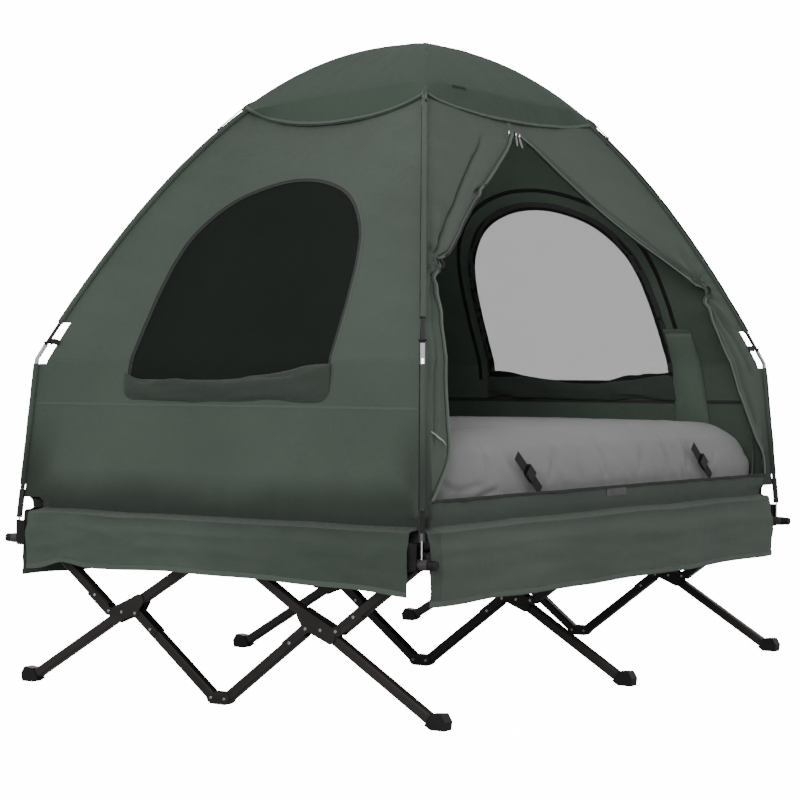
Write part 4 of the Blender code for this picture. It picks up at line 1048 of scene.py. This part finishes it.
for name, edge, inset in (("left", LEFT_EDGE, -1), ("right", RIGHT_EDGE, 1)):
    line = [(table(edge, z) + inset * 0.004, z) for z in door_heights]
    wall_band(f"door_hem_{name}", "door", line, 0.008, TAPE, edge_look)
    line = [(a + inset * 0.004, z) for a, z in line]
    wall_band(f"door_zip_{name}", "door", line, 0.014, TAPE, binding_look, INNER, True)
    path, normals = along_wall("door", [(table(edge, z) - inset * 0.001, z) for z in door_heights])
    soft(tube(f"door_cord_{name}", path, 0.0018, binding_look, 6))
sill = [(x, DOOR_BOTTOM - 0.003) for x in spaced(-0.893, 0.893, 80)]
wall_band("door_sill", "door", sill, 0.008, 0.0026, binding_look)
patch = [(x, 0.521) for x in spaced(-0.047, 0.057, 8)]
wall_band("sill_patch", "door", patch, 0.026, 0.0018, velcro_look)

for side, (_, outside, _) in SIDES.items():  # the hem of the hanging skirt
    hem = skirt_row(side, spaced(*SKIRT_HALF[side], 90), 0.962)
    soft(ribbon(f"skirt_hem_{side}", hem, [outside] * len(hem), 0.013, CLOTH, hem_look, lift=0.0004))


def tie_loop(name, spot, side):
    """The toggle and its loop that hold a curtain at its tie-back."""
    x, z = spot
    path = []
    for turn in spaced(0, 2 * math.pi, 12)[:-1]:
        path.append(side_surface("door", x + 0.010 * math.cos(turn), z + 0.020 * math.sin(turn), 0.006))
    soft(tube(f"{name}_loop", path, 0.0022, canopy_look, 8, closed=True))
    bar = [side_surface("door", x + side * 0.002 + 0.010 * t, z + 0.024 * t, 0.013) for t in spaced(-0.5, 0.5, 4)]
    soft(tube(f"{name}_toggle", bar, 0.0035, plastic_look, 10, radii=[0.0026, 0.0038, 0.0040, 0.0038, 0.0026]))


for name, tie in zip(("tie_left", "tie_right"), TIES):
    tie_loop(name, *tie)


def pull(name, x, z, length, lean):
    """A zip's slider with a cord loop, which hangs from it against the wall."""
    top = side_surface("door", x, z, 0.004)
    slider = [top + Vector((0, -0.001, 0.006 - 0.004 * i)) for i in range(4)]
    soft(tube(f"{name}_slider", slider, 0.003, bright_look, 8, radii=[0.0018, 0.0032, 0.0034, 0.0020]))
    path = []
    for turn in spaced(0, 2 * math.pi, 16)[:-1]:
        down = length * (0.5 - 0.5 * math.cos(turn))
        path.append(top + Vector((lean * down + 0.0030 * math.sin(turn), -0.0015, -0.006 - down)))
    soft(tube(f"{name}_loop", path, 0.0011, cord_look, 6, closed=True))


# The zip pulls at the door's apex, and the stay at its lower left
pull("zip_pull_left", -0.046, 1.497, 0.020, -0.5)
pull("zip_pull_middle", -0.012, 1.494, 0.024, 0.3)
pull("zip_pull_right", 0.004, 1.492, 0.026, 0.6)
stay = [side_surface("door", x, z, out) for x, z, out in
        ((-0.889, 0.697, 0.004), (-0.874, 0.690, 0.007), (-0.857, 0.684, 0.008), (-0.840, 0.674, 0.007),
         (-0.822, 0.663, 0.003))]
soft(tube("door_stay", stay, 0.002, bright_look, 8, radii=[0.0014, 0.0022, 0.0030, 0.0022, 0.0014]))

# A pocket inside the rear wall
points = []
for k in range(13):
    z = 0.67 + 0.30 * k / 12
    for i in range(13):
        along = -0.335 - (0.085 + 0.03 * (1 - k / 12)) * i / 12
        belly = 0.016 * math.sin(math.pi * k / 12) ** 0.7 * math.sin(math.pi * i / 12) ** 0.7
        points.append(side_surface("rear", along, z, -0.004 - belly))
soft(thickened(outward(add_mesh("wall_pocket", points, grid_faces(13, 13), pocket_look)), CLOTH))
line = [(along, 0.968) for along in spaced(-0.335, -0.420, 12)]
wall_band("pocket_hem", "rear", line, 0.014, TAPE, hem_look, -0.008, True)

# ---------------------------------------------------------------- pole sleeves, clips and rings
CORNERS = {
    "front_right": (-1, -1, 0.0), "rear_left": (1, 1, 0.0), "front_left": (-1, 1, 1.0), "rear_right": (1, -1, 1.0),
}


def pole_point(end, side, share, under=0.0):
    """A point of a pole's middle line; under is 1 for the pole that passes below the other."""
    fall = CROSSING_DROP * under * max(0, 1 - (share / CROSSING_SHARE) ** 2) ** 2
    return Vector((end * POLE_X * share, side * POLE_Y * share, pole_height(share) - fall))


SLEEVE_LOW = {True: 0.512, False: 0.534}
for corner, (end, side, under) in CORNERS.items():
    near = corner == "front_right"
    for part, low, high in (("upper", GAP_TOP, 1.700), ("lower", SLEEVE_LOW[near], GAP_LOW)):
        start, stop = pole_share(high), pole_share(low)
        steps = 44 if part == "upper" else 20
        path = [pole_point(end, side, share, under) for share in spaced(start, stop, steps)]
        radii = [0.0080 + 0.0009 * crumple(*spot, 0.03) + 0.0006 * crumple(*spot, 0.012) for spot in path]
        soft(tube(f"sleeve_{part}_{corner}", path, 0.008, canopy_look, 16, hint=(end, -side, 0), radii=radii))
    out = Vector((end, side, 0)).normalized()
    aside = Vector((end, -side, 0)).normalized()
    for part, low, high in (("upper", GAP_TOP, 1.548), ("lower", SLEEVE_LOW[near], GAP_LOW)):
        start, stop = pole_share(high), pole_share(low)
        path = [pole_point(end, side, share, under) + out * 0.0035 + aside * end * side * 0.0072
                for share in spaced(start, stop, 40)]
        soft(tube(f"sleeve_piping_{part}_{corner}", path, 0.0018, binding_look, 6))
    if near:
        path = [pole_point(end, side, pole_share(0.516 - 0.004 * i)) + out * 0.0072 for i in range(14)]
        soft(ribbon("corner_web", path, [out] * 14, 0.0125, CLOTH, binding_look))
    clip_at = pole_point(end, side, pole_share(0.912))
    ring = [clip_at + 0.0082 * (math.cos(turn) * out + math.sin(turn) * aside) for turn in
            spaced(0, 2 * math.pi, 16)[:-1]]
    soft(tube(f"clip_{corner}", ring, 0.0028, plastic_look, 8, closed=True))
    if not near:
        along_x, along_y = Vector((end, 0, 0)), Vector((0, side, 0))
        for name, way, normal in (("end", -along_x, along_y), ("side", -along_y, along_x)):
            path = [clip_at + way * (0.006 + 0.0085 * i) + Vector((0, 0, 0.003 * math.sin(i))) - out * 0.003
                    for i in range(5)]
            soft(ribbon(f"clip_tab_{name}_{corner}", path, [normal] * 5, 0.015, TAPE, binding_look))


# ---------------------------------------------------------------- roof fly
FRONT_CREASE = [(-0.28, 1.540), (-0.16, 1.563), (-0.04, 1.579), (0.09, 1.586), (0.19, 1.592), (0.28, 1.597)]


def fly_levels(side, t):
    """Shares of the poles at which the fly's crease and its hem lie."""
    edge = FLY_END if SIDES[side][2] else FLY_SIDE
    hem = FLY_CORNER + (edge - FLY_CORNER) * (1 - t * t)
    height = table(FRONT_CREASE, 0.28 * t) if side == "front" else 1.597
    height += 0.003 * math.sin(3.1 * t + len(side))
    return min(pole_share(height - FLY_RISE), hem - 0.004), hem


def fly_point(side, t, level, out=0.0):
    """t runs from -1 to 1 between two poles, and level is the share of the poles."""
    way, outside, is_end = SIDES[side]
    crease, hem = fly_levels(side, t)
    height = pole_height(level) + FLY_RISE
    half_along, half_out = ((POLE_Y, POLE_X) if is_end else (POLE_X, POLE_Y))
    sag = sag_share(height) * (1 - t * t) * level / hem / 2 * (END_SAG if is_end else SIDE_SAG)
    rim = 1 - abs(t) ** 8
    if level <= crease:
        out += 0.012 * rim * smoothstep(crease - 0.15, crease, level)
    else:
        out += rim * (0.012 - 0.032 * (level - crease) / max(0.02, hem - crease))
    wave = 0.0035 * crumple(t * 0.9, level * 2, 2.0 + len(side), 0.22) + 0.0020 * crumple(t * 1.2, level, 5.0, 0.05)
    pleat = 0.0026 * math.sin(t * 24 + len(side)) * (1 - smoothstep(0.06, 0.26, level))
    out += (wave + pleat * smoothstep(0.012, 0.05, level)) * rim
    place = way * (t * (half_along + FLY_RISE) * level) + outside * ((half_out + FLY_RISE) * level - sag + out)
    return place + Vector((0, 0, height + 0.3 * out))


def fly_rows(side, t):
    crease, hem = fly_levels(side, t)
    return spaced(0, crease, 30)[1:] + spaced(crease, hem, 12)[1:]


def fly_surface():
    points, faces = [Vector((0, 0, CROWN + FLY_RISE + 0.0095))], []
    for side in SIDES:
        columns = []
        for t in spaced(-1, 1, 56):
            levels = fly_rows(side, t)
            columns.append(range(len(points), len(points) + len(levels)))
            points += [fly_point(side, t, level) for level in levels]
        for first, second in zip(columns, columns[1:]):
            faces.append([0, second[0], first[0]])
            faces += [[first[k], second[k], second[k + 1], first[k + 1]] for k in range(len(first) - 1)]
    return points, faces


fly = joined(add_mesh("roof_fly_cloth", *fly_surface(), fly_look), 0.0004)
thickened(fly, CLOTH)
shaded(fly.data, 40)
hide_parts("roof_fly")
soft(fly)
for side in SIDES:
    spots = spaced(-1, 1, 70)
    path = [fly_point(side, t, fly_levels(side, t)[1] - 0.006, 0.0008) for t in spots]
    normals = [wall_normal(side, 0.2 * t, 1.54) for t in spots]
    soft(ribbon(f"fly_hem_{side}", path, normals, 0.010, CLOTH, hem_look))
path = [fly_point("door", t, fly_levels("door", t)[0] + 0.003, CLOTH) for t in spaced(-0.70, -0.54, 12)]
soft(ribbon("fly_vent", path, [Vector((0, -1, 0))] * 13, 0.006, 0.0010, binding_look))

# Corner cords of the fly, each taut from its corner to a hook on the pole's sleeve
for corner, (end, side, under) in CORNERS.items():
    out = Vector((end * POLE_Y, side * POLE_X, 0)).normalized() * 0.010 + Vector((0, 0, 0.006))
    start, stop = {"front_right": (0.445, 0.482), "rear_right": (0.452, 0.492)}.get(corner, (0.455, 0.520))
    path = [pole_point(end, side, share, under) + out * off
            for share, off in zip(spaced(start, stop, 8), spaced(1.1, 0.85, 8))]
    length = sum((b - a).length for a, b in zip(path, path[1:]))
    look = string_look if corner == "rear_right" else elastic_look
    cord = soft(tube(f"fly_cord_{corner}", path, 0.0018, look, 8))
    hook = [path[-1] + Vector((0, 0, 0.002 - 0.004 * i)) + out * (0.25 * math.sin(i * 0.9)) for i in range(7)]
    hook = soft(tube(f"fly_hook_{corner}", hook, 0.0026, plastic_look, 8))
    tuple(path[0])
    [tuple(spot) for spot in path]
    roll = [pole_point(end, side, share, under) + out * 0.75 for share in spaced(0.432, 0.462, 6)]
    radii = [0.002, 0.004, 0.0055, 0.0065, 0.0065, 0.0060, 0.003]
    soft(tube(f"fly_corner_{corner}", roll, 0.006, fly_look, 12, radii=radii))


# ---------------------------------------------------------------- mattress
def mattress_surface():
    """A soft box with rounded ends and a crown, from (a, b, c) shares of its size."""
    points, faces, index = [], [], {}
    long_count, wide_count, tall_count = 90, 56, 20

    def place(i, j, k):
        key = (i, j, k)
        if key in index:
            return index[key]
        a, b, c = 2 * i / long_count - 1, 2 * j / wide_count - 1, 2 * k / tall_count - 1
        a, b = math.sin(math.pi / 2 * a), math.sin(math.pi / 2 * b)
        long_edge = max(0, 1 - (1 - abs(a)) * MATTRESS_X / 0.085)
        wide_edge = max(0, 1 - (1 - abs(b)) * MATTRESS_Y / 0.100)
        middle = (MATTRESS_LOW + MATTRESS_TOP) / 2
        half = (MATTRESS_TOP - MATTRESS_LOW) / 2
        drop = long_edge**2 * 0.27 + wide_edge**2 * 0.24
        crown = 0.014 * (1 - a * a) * (1 - b * b)
        z = middle + c * half if c < 0 else middle + c * (half * (1 - drop) + crown - 0.014)
        edge = 1 - 0.03 * c * c
        pull = 0.010 * (1 - abs(c)) * (1 - abs(a)) if c < 0 else 0
        index[key] = len(points)
        points.append(Vector((a * MATTRESS_X * edge, b * (MATTRESS_Y * edge - pull), z)))
        return index[key]

    for k in (0, tall_count):
        for i in range(long_count):
            for j in range(wide_count):
                faces.append([place(i, j, k), place(i + 1, j, k), place(i + 1, j + 1, k), place(i, j + 1, k)])
    for k in range(tall_count):
        for i in range(long_count):
            for j in (0, wide_count):
                faces.append([place(i, j, k), place(i + 1, j, k), place(i + 1, j, k + 1), place(i, j, k + 1)])
        for j in range(wide_count):
            for i in (0, long_count):
                faces.append([place(i, j, k), place(i, j + 1, k), place(i, j + 1, k + 1), place(i, j, k + 1)])
    return points, faces


def puffed(piece, voxel, pressure, cap):
    """An even mesh, blown up by a cloth simulation with each point's movement capped, and subdivided once."""
    step = piece.modifiers.new("even", "REMESH")
    step.mode = "VOXEL"
    step.voxel_size = voxel
    applied(piece)
    start = [vertex.co.copy() for vertex in piece.data.vertices]
    cloth = piece.modifiers.new("cloth", "CLOTH")
    cloth.settings.use_pressure = True
    cloth.settings.uniform_pressure_force = pressure
    cloth.settings.effector_weights.gravity = 0
    cloth.settings.quality = 4
    for number in range(1, 21):
        bpy.context.scene.frame_set(number)
    applied(piece)
    for vertex, before in zip(piece.data.vertices, start):
        move = vertex.co - before
        if move.length > cap:
            vertex.co = before + move * (cap / move.length)
    bpy.context.scene.frame_set(1)
    step = piece.modifiers.new("finer", "SUBSURF")
    step.levels = 1
    return applied(piece)


ARCS = [[(x, 0.690), (x + 0.020, 0.655), (x + 0.026, 0.610), (x + 0.014 + 0.02 * turn, 0.560)] for x, turn in
        ((-0.60, 1), (-0.27, -1), (-0.02, 1.5), (0.20, -0.5), (0.34, 1), (0.47, 0.5), (0.66, -1.5))]
TUCKS = [[(-0.80, 0.575), (-0.70, 0.545), (-0.60, 0.560)], [(-0.74, 0.530), (-0.64, 0.520), (-0.52, 0.545)]]


def mattress_creases(piece):
    """Long creases along its upper edges, arcs down the long sides and tucks at the lower corners."""
    for vertex in piece.data.vertices:
        x, y, z = vertex.co
        side = smoothstep(0.52, 0.585, abs(y))
        end = smoothstep(0.84, 0.90, abs(x))
        flat = 1 - max(side, end)
        upper = smoothstep(0.45, 0.52, z)
        out = Vector((0, math.copysign(1, y), 0)) if abs(y) > 0.55 else Vector((math.copysign(1, x), 0, 0))
        move = 0.0
        if side:
            for line in ARCS:
                move += groove(line, x, z, 0.009, 0.0062)
            for line in TUCKS:
                move += groove(line, x, z, 0.008, 0.006)
            seam = 0.690 - 0.00015 * abs(x) + 0.004 * math.sin(5 * x)
            move -= 0.0040 * bell(z - seam, 0.005) * (1 - smoothstep(0.60, 0.75, abs(x)))
            move += 0.0040 * crumple(x, z * 0.6, 3.3, 0.10) + 0.0022 * crumple(x + 0.5 * z, z, 6.6, 0.035)
        if end:
            move += 0.0050 * crumple(y, z * 0.6, 9.1, 0.10) + 0.0022 * crumple(y, z, 1.6, 0.035)
        vertex.co += out * move * upper * (0.4 + 0.6 * max(side, end))
        if z > 0.6 and flat:
            rise = 0.0030 * crumple(x * 0.5, y, 2.2, 0.14) + 0.0020 * crumple(x, y, 7.2, 0.05)
            for across in (-0.44, -0.15, 0.15, 0.44):
                rise -= 0.0045 * bell(y - across, 0.010) * (1 - smoothstep(0.62, 0.78, abs(x)))
            vertex.co.z += rise * flat
        vertex.co.y = max(-MATTRESS_Y - 0.0008, min(MATTRESS_Y + 0.0008, vertex.co.y))
        vertex.co.z = max(MATTRESS_LOW, vertex.co.z)


points, faces = mattress_surface()
mattress = outward(add_mesh("mattress_cover", points, faces, mattress_look))
for vertex in mattress.data.vertices:
    x, y, z = vertex.co
    vertex.co = Vector((x * 0.9985, y * 0.9920, MATTRESS_LOW + (z - MATTRESS_LOW) * 0.972))
puffed(mattress, 0.016, 4.0, 0.008)
mattress_creases(mattress)
mattress.data.shade_smooth()
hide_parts("mattress")
soft(mattress)
for end in (-1, 1):
    path = []
    for i in range(41):
        turn = math.pi * (i / 40 - 0.5)
        x = end * (0.852 + 0.040 * math.cos(turn) ** 0.8)
        path.append(Vector((x, -0.6015, 0.575 + 0.078 * math.sin(turn))))
    soft(tube(f"mattress_seam_{'rear' if end > 0 else 'front'}", path, 0.0022, seam_look, 6))
valve = [Vector((MATTRESS_X - 0.016 + 0.008 * i, 0, 0.470)) for i in range(4)]
valve = tube("mattress_valve", valve, 0.013, plastic_look, 20, radii=[0.014, 0.014, 0.013, 0.010])
soft(valve)


# ---------------------------------------------------------------- bed sheet
def bed_surface():
    """The sheet over the three rails, with its edges turned down at the sides."""
    outline = [(-SHEET_Y, SHEET_LOW - 0.022), (-SHEET_Y, SHEET_TOP - 0.002), (-SHEET_Y + 0.003, SHEET_TOP)]
    outline += [(y, SHEET_TOP) for y in spaced(0.003 - SHEET_Y, SHEET_Y - 0.003, 30)[1:-1]]
    outline += [(SHEET_Y - 0.003, SHEET_TOP), (SHEET_Y, SHEET_TOP - 0.002), (SHEET_Y, SHEET_LOW - 0.022)]
    points = [Vector((x, y, z)) for x in spaced(-SHEET_X, SHEET_X, 60) for y, z in outline]
    return points, grid_faces(61, len(outline))


bed = outward(add_mesh("bed_cloth", *bed_surface(), bed_look))
thickened(bed, 0.0014)
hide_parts("bed_sheet")
soft(bed, "bed")
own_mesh(bed)

# ---------------------------------------------------------------- materials of the model's own nodes
buckle_looks = {side: buckle_material(f"buckle_{side}", spot) for side, spot in zip(("left", "right"), BUCKLES)}


def node_look(node, slot):
    if node.startswith("buckle_"):
        return buckle_looks[node.split("_")[-1]]
    if slot == "frame":
        return next((frame_looks[part] for part in ("hub", "leg", "bracket", "rail") if part in node), bar_look)
    return {"black_plastic": plastic_look, "pole": pole_look}[slot]


for node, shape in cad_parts.items():
    slots = [mat.name.split(".")[0] for mat in shape.data.materials if mat]
    slot = next((slot for slot in slots if slot in ("frame", "black_plastic", "pole")), None)
    if slot:
        shape.data.materials.clear()
        shape.data.materials.append(node_look(node, slot).material)
